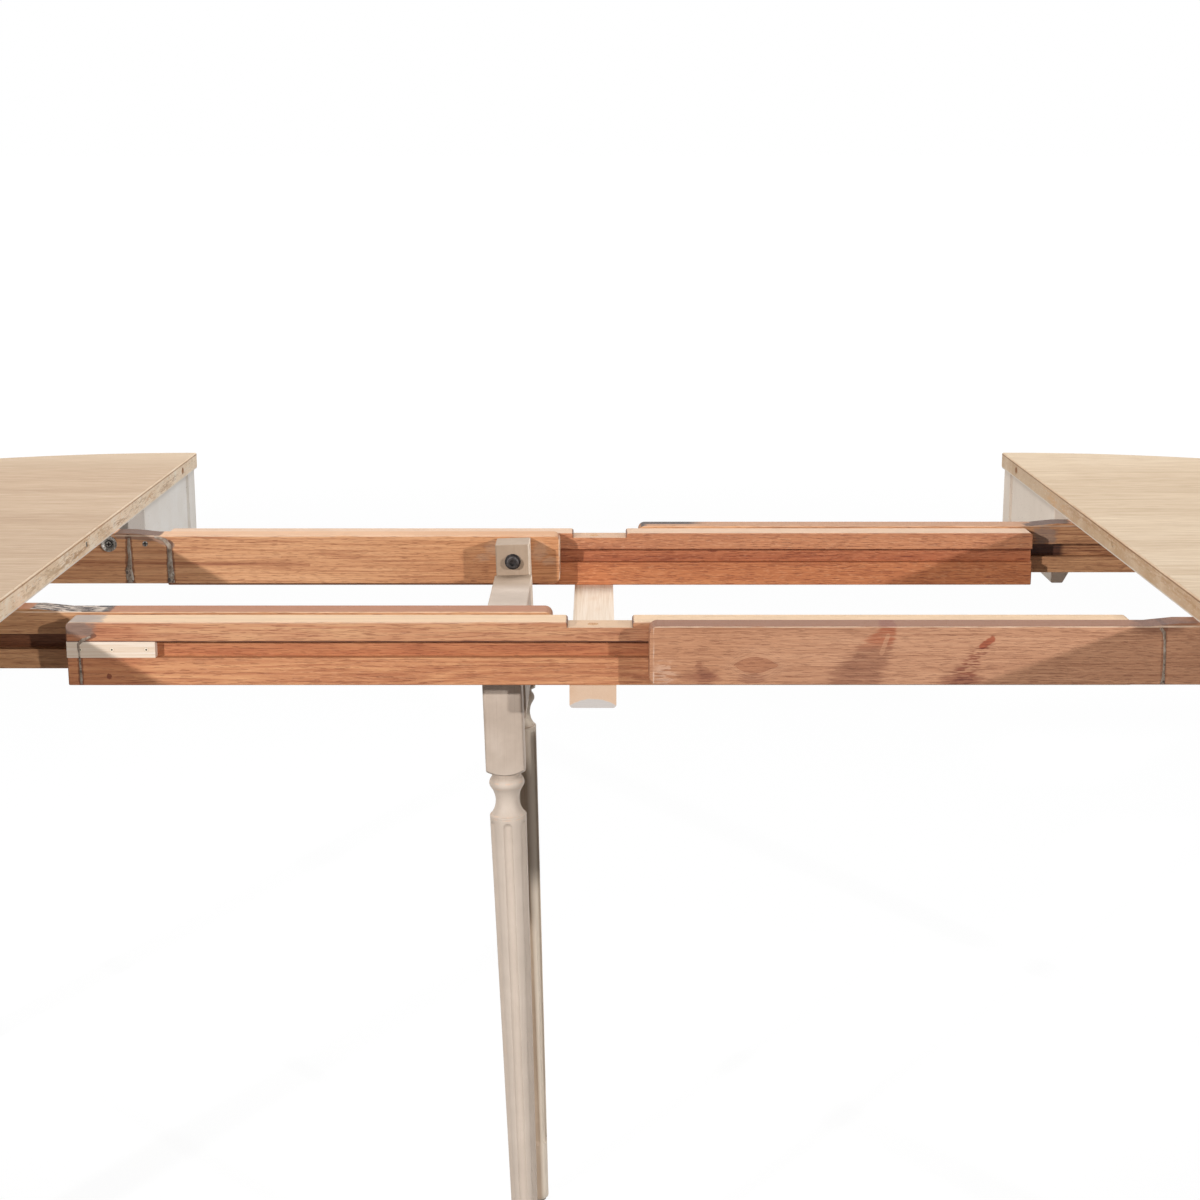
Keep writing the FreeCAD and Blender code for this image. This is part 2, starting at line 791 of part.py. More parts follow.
def build_half(name, rail_y, groove_side, place):
    """One half of the table: its top, aprons, legs, rails and fixings. place carries it to its own side."""
    rail = half_rail(rail_y, groove_side)
    screw_places = rail_screw_places(rail_y, groove_side)
    screw_holes = [rail_screw_hole(p) for p in screw_places]
    top_holes = [h for hole in screw_holes for h in both_sides(hole)]
    boards = [cut(plank, top_holes + seam_holes()).Solids[0] for plank in half_top()]
    nodes[name + "_top"] = place(Part.makeCompound(boards))
    near_apron, end_apron, far_apron = aprons()
    nodes[name + "_near_apron"] = place(near_apron)
    nodes[name + "_end_apron"] = place(end_apron)
    nodes[name + "_far_apron"] = place(far_apron)
    edge_board = seam_board()
    nodes[name + "_seam_boards"] = place(Part.makeCompound([edge_board, flip_y(edge_board)]))
    leg = main_leg()
    nodes[name + "_near_leg"] = place(corner_at(leg, -leg_angle))
    nodes[name + "_far_leg"] = place(corner_at(leg, leg_angle))
    nodes[name + "_corner_blocks"] = place(corner_blocks())
    nodes[name + "_leg_bolts"] = place(Part.makeCompound([corner_at(hanger_bolt(0), a) for a in leg_angles]))
    nodes[name + "_leg_nuts"] = place(Part.makeCompound([corner_at(hanger_nut(), a) for a in leg_angles]))
    foot = glide(glide_radius, glide_thick)
    foot.translate(V(leg_radius, 0, 0))
    nodes[name + "_leg_glides"] = place(Part.makeCompound([corner_at(foot, a) for a in leg_angles]))
    nodes[name + "_glue_blocks"] = place(glue_blocks())
    far_rail = cut(rail, screw_holes)
    nodes[name + "_far_rail"] = place(far_rail)
    nodes[name + "_near_rail"] = place(flip_y(far_rail))
    screws = [s for p in screw_places for s in both_sides(rail_screw(p))]
    nodes[name + "_rail_screws"] = place(Part.makeCompound(screws))


build_half("left", inner_rail_y, 1, flip_x)
build_half("right", outer_rail_y, -1, lambda shape: shape)

# What only the left half carries
insert_hole = threaded_insert(insert_fit)
for name, flip in (("left_far_rail", lambda s: s), ("left_near_rail", flip_y)):
    nodes[name] = cut(nodes[name], [flip(insert_hole)] + [flip(h) for h in side_holes()])
nodes["left_seam_tongue"] = flip_x(tongue(0, 0))
cup_washer, cup_screw = cup_fastener()
nodes["left_cup_washers"] = Part.makeCompound(both_sides(cup_washer))
nodes["left_side_screws"] = Part.makeCompound(both_sides(cup_screw) + both_sides(side_screw()))
nodes["left_splines"] = flip_x(Part.makeCompound(both_sides(spline(inner_rail_out))))
insert = threaded_insert(0).cut(pivot_rod(insert_fit))
nodes["pivot_inserts"] = Part.makeCompound(both_sides(insert))
nodes["pivot_bolts"] = Part.makeCompound(both_sides(pivot_bolt()))
nodes["pivot_washers"] = Part.makeCompound(both_sides(pivot_washer()))

# What only the right half carries
right_spline = spline(inner_rail_out)
right_spline = right_spline.mirror(V(0, (inner_rail_out + outer_rail_y) / 2, 0), Y)
nodes["right_splines"] = Part.makeCompound(both_sides(right_spline))

# The sliding carriage between the halves
carriage_rail = middle_rail()
stops = []
nails = []
nail_holes = []
for span in stop_spans():
    stops.append(stop_block(*span))
    nails.extend(stop_nails(*span, 0))
    nail_holes.extend(stop_nails(*span, screw_fit))
carriage_rail = cut(carriage_rail, nail_holes)
stops = [cut(s, nail_holes) for s in stops]
nodes["middle_far_rail"] = carriage_rail
nodes["middle_near_rail"] = flip_y(carriage_rail)
nodes["stop_blocks"] = Part.makeCompound([b for s in stops for b in both_sides(s)])
nodes["stop_nails"] = Part.makeCompound([b for n in nails for b in both_sides(n)])
nodes["crosspiece"] = crosspiece()
nodes["crosspiece_screws"] = Part.makeCompound(both_sides(crosspiece_screw()))

# The centre leg frame
far_centre_leg = centre_leg()
nodes["centre_far_leg"] = lean(far_centre_leg)
nodes["centre_near_leg"] = lean(flip_y(far_centre_leg))
nodes["centre_leg_rail"] = lean(centre_rail())
nodes["centre_leg_pegs"] = lean(Part.makeCompound(both_sides(centre_dowel(0))))
centre_glide = glide(centre_glide_radius, centre_glide_thick)
centre_glide.translate(V(pivot_x, inner_rail_y - leg_side_gap - centre_block_y / 2, 0))
nodes["centre_leg_glides"] = lean(Part.makeCompound(both_sides(centre_glide)))

os.makedirs("parts", exist_ok=True)
for name, shape in nodes.items():
    shape.exportStep("parts/" + name + ".step")
    box_now = shape.BoundBox
    print(name, len(shape.Solids), shape.isValid(), round(shape.Volume), [round(v, 1) for v in (
        box_now.XMin, box_now.XMax, box_now.YMin, box_now.YMax, box_now.ZMin, box_now.ZMax)])
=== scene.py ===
from functools import partial, partialmethod, reduce
from math import acos, atan2, cos, hypot, pi, radians, sin, tau
import bmesh
import bpy
from mathutils import Matrix, Vector


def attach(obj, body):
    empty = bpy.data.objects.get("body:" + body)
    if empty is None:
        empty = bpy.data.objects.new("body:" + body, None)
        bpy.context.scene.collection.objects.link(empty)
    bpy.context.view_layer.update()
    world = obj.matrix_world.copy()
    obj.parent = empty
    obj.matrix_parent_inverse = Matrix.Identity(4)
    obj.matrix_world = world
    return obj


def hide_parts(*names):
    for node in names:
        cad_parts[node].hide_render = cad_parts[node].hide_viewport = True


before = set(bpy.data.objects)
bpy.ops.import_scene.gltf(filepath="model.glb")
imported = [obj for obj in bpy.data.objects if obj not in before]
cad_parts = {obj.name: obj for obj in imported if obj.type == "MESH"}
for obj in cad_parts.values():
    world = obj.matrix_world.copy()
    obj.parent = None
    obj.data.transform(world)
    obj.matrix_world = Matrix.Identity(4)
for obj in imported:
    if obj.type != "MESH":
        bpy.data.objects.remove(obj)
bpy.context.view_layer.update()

# An extending round table, pulled open with its leaves out. Metres, +Z up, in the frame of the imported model.
# The rails run along X. The near side is -Y, and the left half is at -X.

MM = 0.001
scene = bpy.context.scene

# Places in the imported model, in millimetres
groove_low, groove_high = 705.6, 719.2
upper_part = (728, 730)  # A rail's top and notch lie above this, its groove below.
left_rail_face, middle_inner_face, middle_outer_face, right_rail_face = 161.5, 187.5, 215.5, 241.5
nail_z = 712.4
nail_xs = (440.75, 413.75, 384.5)
seam_x = 500
main_leg_circle = 550.5
pivot_z = 719.4
centre_leg_x, centre_leg_y = -88.0, 142.1
centre_leg_lean = 1.7  # degrees


# Node trees

class Wire:
    """A node's output. Python sums on wires and numbers add Math nodes to the tree."""

    def __init__(self, tree, socket):
        self.tree = tree
        self.socket = socket

    def other(self, name):
        """Another output of the same node."""
        return Wire(self.tree, self.socket.node.outputs[name])

    def math(self, operation, *values):
        return self.tree.math(operation, self, *values)

    __add__ = __radd__ = partialmethod(math, "ADD")
    __sub__ = partialmethod(math, "SUBTRACT")
    __mul__ = partialmethod(math, "MULTIPLY")
    __truediv__ = partialmethod(math, "DIVIDE")
    __pow__ = partialmethod(math, "POWER")
    __abs__ = partialmethod(math, "ABSOLUTE")
    __gt__ = partialmethod(math, "GREATER_THAN")
    __lt__ = partialmethod(math, "LESS_THAN")

    def __rsub__(self, value):
        return self.tree.math("SUBTRACT", value, self)

    def rise(self, low, high):
        """0 below low, 1 above high, and smooth between them. With high under low it falls."""
        inputs = {"Value": self, "From Min": min(low, high), "From Max": max(low, high)}
        risen = self.tree.node("MapRange", {"interpolation_type": "SMOOTHSTEP"}, inputs)
        return risen if low < high else 1 - risen

    def rise_mm(self, low, high):
        return self.rise(low * MM, high * MM)

    def within(self, low, high, soft):
        """1 between low and high."""
        return self.rise(low - soft, low + soft) * self.rise(high + soft, high - soft)


class Nodes:
    """The nodes of one tree."""

    def __init__(self, tree):
        self.nodes = tree.nodes
        self.links = tree.links
        self.nodes.clear()

    def node(self, kind, settings=None, inputs=None, output=0):
        """Adds a node: settings first, then the value or wire of each input. A short kind is a shader node's."""
        made = self.nodes.new(kind if "Node" in kind else "ShaderNode" + kind)
        for name, value in (settings or {}).items():
            setattr(made, name, value)
        for name, value in (inputs or {}).items():
            if isinstance(value, Wire):
                self.links.new(value.socket, made.inputs[name])
            else:
                made.inputs[name].default_value = value
        return Wire(self, made.outputs[output]) if made.outputs else None

    def math(self, operation, *values):
        return self.node("Math", {"operation": operation}, dict(enumerate(values)))

    def folded(self, operation, *values):
        return reduce(partial(self.math, operation), values)

    least = partialmethod(folded, "MINIMUM")
    most = partialmethod(folded, "MAXIMUM")

    def axes(self, vector):
        """A vector's three parts."""
        split = self.node("SeparateXYZ", inputs={0: vector})
        return split, split.other("Y"), split.other("Z")

    def vector(self, x, y, z):
        return self.node("CombineXYZ", inputs={0: x, 1: y, 2: z})

    def seen(self):
        """1 for what the camera sees, also in mirrors, and 0 for the light that falls on things."""
        path = self.node("LightPath", output="Is Camera Ray")
        return self.most(path, path.other("Is Glossy Ray"), path.other("Is Transmission Ray"))


def colour(red, green, blue):
    """A colour read off a screen, 0 to 255, as a linear colour with alpha."""
    def linear(level):
        share = level / 255
        return share / 12.92 if share <= 0.04045 else ((share + 0.055) / 1.055) ** 2.4
    return (linear(red), linear(green), linear(blue), 1)


def grey(level):
    """A linear grey with alpha."""
    return (level, level, level, 1)


class Finish(Nodes):
    """The material of one surface. Patterns read Object coordinates in metres, and marks are placed in millimetres."""

    def __init__(self, name):
        self.material = bpy.data.materials.new(name)
        self.material.use_nodes = True
        super().__init__(self.material.node_tree)
        self.place = self.node("TexCoord", output="Object")
        self.x, self.y, self.z = self.axes(self.place)
        self.facing_x, self.facing_y, self.facing_z = self.axes(self.place.other("Normal"))

    def attribute(self, name):
        return self.node("Attribute", {"attribute_name": name}, output="Fac")

    def noise(self, size, shift=0.0, detail=2.0, rough=0.5, warp=0.0):
        """Noise with grains of a size in metres, one length or one for each axis."""
        size = (size,) * 3 if isinstance(size, float) else size
        scale = [1 / length for length in size]
        place = self.node("Mapping", inputs={"Vector": self.place, "Scale": scale, "Location": (shift,) * 3})
        inputs = {"Vector": place, "Scale": 1.0, "Detail": detail, "Roughness": rough, "Distortion": warp}
        return self.node("TexNoise", inputs=inputs)

    def grains(self, size, shift, low, high, **kind):
        """Noise made a mask: 0 where it is below low and 1 above high."""
        return self.noise(size, shift, **kind).rise(low, high)

    def ramp(self, value, places, tones, read=colour):
        """A colour ramp with a tone at each place. Read makes a colour of a tone."""
        ramp = self.node("ValToRGB", inputs={"Fac": value})
        elements = ramp.socket.node.color_ramp.elements
        while len(elements) < len(places):
            elements.new(0.5)
        for element, place, tone in zip(elements, places, tones):
            element.position = place
            element.color = read(*tone)
        return ramp

    def blend(self, amount, under, over, way="MIX"):
        settings = {"data_type": "RGBA", "blend_type": way}
        return self.node("Mix", settings, {0: amount, 6: under, 7: over}, output=2)

    def stain(self, mask, shade):
        """Multiplies the base colour by a shade, 0 to 255, where the mask is 1."""
        self.base = self.blend(mask, self.base, colour(*shade), "MULTIPLY")
        return self

    def cover(self, mask, tone):
        """Lays a tone, 0 to 255, over the base colour where the mask is 1."""
        self.base = self.blend(mask, self.base, colour(*tone))
        return self

    def surface(self, rough, height=None, depth=0.0, metallic=0.0):
        """Ends the tree with the base colour made so far, and gives the material."""
        inputs = {"Base Color": self.base, "Roughness": rough, "Metallic": metallic}
        if height is not None:
            inputs["Normal"] = self.node("Bump", inputs={"Height": height, "Distance": depth})
        return self.ended(self.node("BsdfPrincipled", inputs=inputs))

    def ended(self, shader):
        self.node("OutputMaterial", inputs={"Surface": shader})
        return self.material

    def torn(self, far, grain, shift, ragged, soft):
        """A mark with a ragged edge: 1 where far is under 1."""
        off = (self.noise(grain, shift, detail=3.0) - 0.5) * (2 * ragged)
        return (far + off).rise(1 + soft, 1 - soft)

    def spot(self, x, z, half_x, half_z, ragged=0.5, soft=0.15, streak=1.0, across=None):
        """A ragged oval mark on a face that looks along Y. Across is another axis to read than x."""
        half_x, half_z = half_x * MM, half_z * MM
        grain = (half_x * 0.8 * streak, half_x * 0.8 * streak, half_z * 0.8 / streak)
        along = self.x if across is None else across
        far = (((along - x * MM) / half_x) ** 2.0 + ((self.z - z * MM) / half_z) ** 2.0) ** 0.5
        return self.torn(far, grain, (x + z) * 0.37, ragged, soft)

    def stroke(self, start, end, half, half_end=None, ragged=0.5, soft=0.2, grain=(12.0, 3.0)):
        """A ragged stroke between two points (x, z) on a face that looks along Y."""
        (x0, z0), (x1, z1) = start, end
        run_x, run_z = (x1 - x0) * MM, (z1 - z0) * MM
        length = run_x ** 2 + run_z ** 2
        from_x, from_z = self.x - x0 * MM, self.z - z0 * MM
        share = self.least(self.most((from_x * run_x + from_z * run_z) / length, 0.0), 1.0)
        off_x, off_z = from_x - share * run_x, from_z - share * run_z
        reach = share * ((half_end or half) - half) * MM + half * MM
        far = (off_x * off_x + off_z * off_z) ** 0.5 / reach
        return self.torn(far, (grain[0] * MM, grain[0] * MM, grain[1] * MM), (x0 + z1) * 0.29, ragged, soft)

    def figure(self, seed, band, fibre, along_y=False):
        """Wood's broad bands, growth lines and fine fibres along X or Y, each from 0 to 1."""
        def lay(length, across):
            return (across, length, across) if along_y else (length, across, across)

        broad = self.noise(lay(0.6, band * 3), seed)
        growth = self.noise(lay(0.42, band), seed + 3.7, detail=1.5, warp=0.25) * 8
        lines = growth.math("PINGPONG", 0.5) * 2
        fine = self.noise(lay(fibre * 55, fibre), seed + 9.1, detail=4.0, rough=0.62)
        return broad, lines, fine

    def worn_paint(self, seed, tones, bare, worn, size):
        """Thin mottled paint with bare patches as the base colour. Gives where it is rubbed off."""
        mottle = self.noise(size, seed, detail=5.0, rough=0.6)
        brushed = self.noise(size * 0.55, seed + 2.0, detail=6.0, rough=0.7)
        self.base = self.ramp(mottle, (0.35, 0.55, 0.7), tones)
        rub = (brushed + worn).rise(0.60, 0.72)
        self.cover(rub, bare)
        return rub


# Slide rails. Colours are 0 to 255, and places are in millimetres.

dried_edge = (120, 92, 74)
# A pale line along an arris: worn wood with a painted highlight.
worn_and_lit_line = (240, 214, 188)


class Slide(Finish):
    """The bare planed hardwood of one rail: its figure, its top, its sawn ends and its notch. Marks follow."""

    def __init__(self, name, tones, top, seed, flecks=0.5, lines=0.14, light_flecks=0.0, band=0.011):
        super().__init__(name)
        self.seed = seed
        broad, growth, self.fine = self.figure(seed, band, 0.0009)
        tone = broad * 0.42 + growth * lines + self.fine * 0.62 - (lines * 0.5 + 0.03)
        self.base = self.ramp(tone, (0.34, 0.50, 0.68), tones)
        pore = self.grains((0.012, 0.00055, 0.00055), seed + 5.3, 0.58, 0.68, detail=1.0)
        self.height = self.fine * 0.6 - pore * 0.5
        self.stain(pore * flecks, (168, 112, 88))
        if light_flecks:
            dashes = self.grains((0.006, 0.0009, 0.0009), seed + 6.1, 0.58, 0.70, detail=1.0)
            self.cover(dashes * light_flecks, (228, 172, 132))
        # The top face takes a tone of its own. Where it is paler than the sides, it is a painted highlight and sheen
        # of the light from above.
        top_face_tone = self.ramp(self.fine * 0.8 + broad * 0.2, (0.3, 0.6), ([level * 0.87 for level in top], top))
        self.on_top = self.facing_z.rise(0.6, 0.9) * self.z.rise_mm(*upper_part)
        self.below_top = 1 - self.on_top
        self.base = self.blend(self.on_top, self.base, top_face_tone)
        self.end_grain()
        # Painted shade: the notch's end faces are darkened.
        notch_end_shade = abs(self.facing_x).rise(0.3, 0.7) * (abs(self.x) < 30 * MM) * self.z.rise_mm(*upper_part)
        self.stain(notch_end_shade, (120, 76, 50))
        notch_floor = (abs(self.x) < 28 * MM) * self.on_top
        self.stain(notch_floor, (238, 233, 231))

    def end_grain(self):
        """Short dark pores and a deeper tone on the sawn ends."""
        on_end = abs(self.facing_x).rise(0.6, 0.8)
        pores = self.grains((0.0008, 0.0016, 0.0008), self.seed, 0.45, 0.7, detail=3.0)
        face = self.base
        self.stain(pores, (190, 160, 140)).stain(0.5, (200, 178, 160))
        self.base = self.blend(on_end, face, self.base)

    def in_groove(self):
        """The band of the groove's height."""
        return self.z.within(groove_low * MM, groove_high * MM, 0.0004)

    def edge(self, low, high, amount=0.8, tone=worn_and_lit_line):
        """A line between two heights, broken along its run. In its default pale tone it is worn wood with a painted
        highlight along the arris; with a dark tone it is a painted shadow line.
        """
        broken = self.grains((0.03, 0.004, 0.0009), self.seed + low, 0.30, 0.55, detail=3.0)
        line = self.z.within(low * MM, high * MM, 0.0003) * broken
        self.cover(line * self.below_top * amount, tone)

    def end_line(self, x, half=0.9, amount=0.7, tone=worn_and_lit_line, top=760.0):
        """An upright line at a rail's end, up to a height: worn wood with a painted highlight along the arris."""
        broken = self.grains((0.002, 0.002, 0.012), self.seed + x, 0.35, 0.55, detail=3.0)
        line = self.x.within((x - half) * MM, (x + half) * MM, 0.0003) * broken
        self.cover(line * self.z.rise_mm(top + 2, top) * amount, tone)

    def done(self):
        return self.surface(0.62, self.height, 0.0003)


def left_far_rail_wood():
    tones = ((176, 118, 80), (205, 148, 104), (222, 168, 124))
    wood = Slide("left far rail wood", tones, (226, 178, 138), 1.0, lines=0.2)
    wood.stain(wood.stroke((-560, 712), (-300, 708), 1.6, ragged=0.7, grain=(30, 1.5)) * 0.5, (170, 120, 90))
    wood.cover(wood.stroke((-560, 720), (-330, 717), 1.5, ragged=0.7, grain=(30, 1.5)) * 0.4, (226, 172, 128))
    pale_spots = ((-108, 726, 10, 7, 0.35), (-60, 722, 9, 9, 0.45), (-52, 712, 7, 4, 0.4), (-120, 716, 8, 4, 0.3))
    for *oval, amount in pale_spots:
        wood.cover(wood.spot(*oval, ragged=0.9, soft=0.5) * amount, (205, 180, 160))
    film = wood.stroke((-496, 739), (-458, 738), 3.4, 4.6, ragged=0.45)
    film = wood.most(film, wood.stroke((-458, 737), (-441, 729), 4.0, 3.2, ragged=0.35))
    wood.cover(film * 0.75, (156, 128, 110)).stain(film * wood.fine * 0.8, (190, 170, 158))
    wood.stain(film * wood.on_top, (158, 140, 126))
    wood.stain(wood.x.rise_mm(-260, -90) * 0.9, (240, 228, 214))
    for x, top in ((-485, 737), (-443, 731)):
        wood.stain(wood.stroke((x, top), (x, 688), 3.2, 5.0, grain=(5, 5)) * 0.75, dried_edge)
    wood.edge(738.0, 739.2)
    wood.end_line(-41.4)
    return wood.done()


def left_near_rail_wood():
    tones = ((152, 102, 67), (185, 134, 92), (204, 154, 112))
    wood = Slide("left near rail wood", tones, (170, 110, 72), 2.0)
    reach = wood.noise((0.012, 0.006, 0.004), 2.6, detail=4.0, rough=0.65) - 0.5
    film = (wood.x + reach * (14 * MM)).within(-489 * MM, -424 * MM, 0.0012) * wood.on_top
    wood.stain(film, (66, 54, 47))
    flakes = wood.grains((0.014, 0.0034, 0.004), 2.2, 0.49, 0.55, detail=4.0, rough=0.6)
    wood.cover(film * flakes * 0.9, (206, 188, 172))
    film_end = (wood.x + reach * (9 * MM)).within(-427 * MM, -421 * MM, 0.001)
    wood.stain(film_end * wood.on_top * 0.8, (80, 62, 52))
    # Painted shade: the groove is darker left of about -450 mm.
    wood.stain(wood.in_groove() * wood.x.rise_mm(-440, -452), (150, 120, 96))
    wood.edge(738.0, 739.2, 0.6)
    return wood.done()


def middle_far_rail_wood():
    tones = ((158, 90, 56), (188, 118, 76), (208, 141, 98))
    wood = Slide("middle far rail wood", tones, (223, 187, 157), 3.0, flecks=0.7, lines=0.08, light_flecks=0.3)
    # Painted shade: the groove is darker along its length.
    wood.stain(wood.in_groove() * 0.35 * wood.below_top, (190, 120, 84))
    # Painted shadow: a dark line along the groove's upper edge.
    wood.edge(719.2, 720.1, 0.5, (120, 60, 40))
    wood.stain(wood.z.rise_mm(706, 705), (252, 243, 229))
    wood.cover(wood.z.rise_mm(720, 721) * wood.below_top * 0.12, (218, 172, 136))
    wood.cover(wood.spot(-5, 731.5, 40, 4) * wood.on_top * 0.4, (206, 160, 120))
    return wood.done()


def middle_near_rail_wood():
    tones = ((172, 107, 70), (200, 137, 94), (219, 162, 114))
    wood = Slide("middle near rail wood", tones, (234, 198, 160), 4.0, lines=0.16, light_flecks=0.2, band=0.014)
    # Painted shade: the groove is darker along its length.
    wood.stain(wood.in_groove() * 0.5 * wood.below_top, (196, 134, 92))
    wood.stain(wood.z.rise_mm(720, 721) * wood.below_top, (242, 244, 253))
    # Painted shade: darker towards the left end, where the left top's shadow falls.
    wood.stain(wood.x.rise_mm(-370, -400) * wood.below_top, (244, 232, 227))
    # Painted shadow: a ragged dark line along the groove's upper edge.
    torn = wood.noise((0.02, 0.02, 0.0016), 4.4, detail=4.0, rough=0.7)
    lip = (wood.z + (torn - 0.5) * 0.004).rise_mm(718.2, 719.5) * wood.z.rise_mm(720.7, 719.7)
    wood.stain(lip * 0.95, (84, 44, 26))
    smear = wood.spot(-441, 731, 14, 8, ragged=0.9, soft=0.3)
    wood.cover(smear * 0.85, (140, 118, 106)).stain(smear * wood.fine * 0.7, (176, 158, 148))
    top_smear = wood.spot(-438, 737, 15, 30, ragged=0.8, soft=0.25) * wood.on_top
    wood.cover(top_smear * 0.85, (166, 150, 138))
    wood.stain(wood.stroke((-428, 725), (-441, 718), 1.8, grain=(4, 4)) * 0.7, dried_edge)
    wood.stain(wood.stroke((-441, 718), (-441, 682), 2.2, ragged=0.6, grain=(4, 4)) * 0.7, dried_edge)
    wood.stain(wood.spot(-417, 689, 2.0, 2.6, ragged=0.6) * 0.8, (140, 80, 50))
    wood.edge(735.4, 736.8, 0.4)
    return wood.done()


def right_far_rail_wood():
    tones = ((144, 94, 62), (192, 138, 96), (220, 168, 122))
    wood = Slide("right far rail wood", tones, (186, 137, 102), 5.0)
    back = wood.y.rise_mm(224, 229) * wood.x.rise_mm(116, 92)
    nose = wood.x.rise_mm(52, 46) * wood.facing_z.rise(0.2, 0.5)
    outer_face = wood.x.rise_mm(104, 84) * wood.facing_y.rise(0.4, 0.8) * wood.z.rise_mm(729, 735)
    wood.stain(wood.most(wood.most(back, nose) * wood.on_top, outer_face) * 0.95, (44, 38, 38))
    wood.stain(wood.spot(474, 740, 24, 30, ragged=1.1, streak=1.4) * wood.on_top * 0.9, (84, 66, 56))
    # Painted shadow: the groove is dark left of about 490 mm, where the middle far rail's end shades it.
    wood.stain(wood.in_groove() * wood.x.rise_mm(496, 488), (110, 82, 62))
    wood.cover(wood.spot(471, 729, 13, 9, ragged=0.9, soft=0.3) * 0.6, (140, 122, 112))
    wood.edge(738.0, 739.2, 0.5)
    return wood.done()


def right_near_rail_wood():
    tones = ((159, 109, 79), (187, 136, 103), (205, 156, 122))
    wood = Slide(
        "right near rail wood", tones, (142, 93, 62), 6.0, flecks=0.4, lines=0.09, light_flecks=0.2, band=0.009)
    threads = wood.grains((0.03, 0.0012, 0.0012), 6.3, 0.38, 0.56, detail=3.0) * 0.5 + 0.5
    long_mark = wood.stroke((241, 737), (214, 690), 6, 22, ragged=0.8, soft=0.25, grain=(34, 1.6))
    slit = wood.stroke((240, 731), (235, 716), 1.8, ragged=0.6, grain=(12, 2.0))
    long_mark = long_mark * (1 - slit * 0.7) * threads
    upper = wood.z.rise_mm(716, 728)
    wood.stain(long_mark * upper, (222, 178, 160)).stain(long_mark * (1 - upper), (204, 190, 186))
    short_mark = wood.stroke((327, 728), (319, 722), 2.7, ragged=0.6, soft=0.25, grain=(14, 2.0))
    wood.stain(short_mark, (212, 156, 136))
    dashes = wood.grains((0.012, 0.001, 0.0016), 6.8, 0.46, 0.56)
    dashed_mark = wood.stroke((319, 720), (305, 697), 4.5, 9, ragged=1.0, soft=0.4, grain=(20, 1.4))
    wood.stain(dashed_mark * dashes, (186, 150, 142))
    damp_spots = (
        (302, 692.5, 17, 5, 1.0), (85, 696, 14, 6.6, 1.0), (88, 698, 5, 5, 0.6), (83, 706, 3, 3.6, 0.8),
        (128, 693.6, 11, 4.2, 0.9))
    for *oval, amount in damp_spots:
        wood.stain(wood.spot(*oval, ragged=0.9, soft=0.4, streak=1.3) * threads * amount, (200, 178, 172))
    bow = ((wood.x - 130 * MM) / (19 * MM)) ** 2.0
    waver = (wood.noise((0.02, 0.02, 0.004), 6.6) - 0.5) * 0.4
    knot = abs(wood.z - 705.6 * MM) / (7.2 * MM) + bow + waver
    wood.stain(knot.rise(1.05, 0.75) * 0.6, (222, 200, 188))
    wood.stain(knot.within(0.92, 1.0, 0.06) * 0.7, (196, 156, 138))
    rings = (knot * 3.5).math("PINGPONG", 0.5) * 2
    wood.cover(knot.rise(3.4, 1.1) * (knot > 1.0) * rings * 0.3, (218, 172, 140))
    wood.stain(wood.x.rise_mm(220, 60) * 0.8, (247, 238, 228))
    wood.stain(wood.spot(470, 741, 22, 8, ragged=1.0, soft=0.3) * 0.6, (150, 128, 120))
    wood.stain(wood.stroke((506, 742), (507, 688), 0.9, ragged=0.4) * 0.4, (140, 120, 110))
    wood.stain(wood.stroke((470, 739), (471.5, 688), 2.4, ragged=0.45, grain=(4, 4)) * 0.5, (160, 136, 124))
    rubbed = wood.spot(54, 697, 9, 11, ragged=1.2, soft=0.5, streak=1.4) * dashes.rise(0.2, 0.8)
    wood.cover(rubbed * 0.4, (226, 188, 162))
    wood.edge(738.0, 739.4)
    wood.end_line(44.8, 0.5, 0.55, (230, 202, 180), 736.5)
    return wood.done()


# Paint, oak and pine

off_white = ((236, 228, 218), (244, 237, 228), (250, 245, 238))
greige = ((180, 162, 146), (193, 175, 159), (205, 188, 173))
bare_tan = (208, 178, 142)
rubbed_pink = (222, 176, 142)
board_width = 0.15


def apron_paint():
    coat = Finish("off-white apron paint")
    rub = coat.worn_paint(8.0, off_white, bare_tan, -0.06, 0.09)
    coat.stain(coat.grains(0.0022, 8.8, 0.70, 0.76, detail=1.0) * 0.4, (150, 136, 124))
    # Painted shade: darker towards the underside of the top.
    coat.stain(coat.z.rise_mm(733, 741) * 0.25, (176, 164, 156))
    coat.stain(coat.x > 0.0, (250, 240, 230))
    return coat.surface(0.6, 0 - rub, 0.0002)


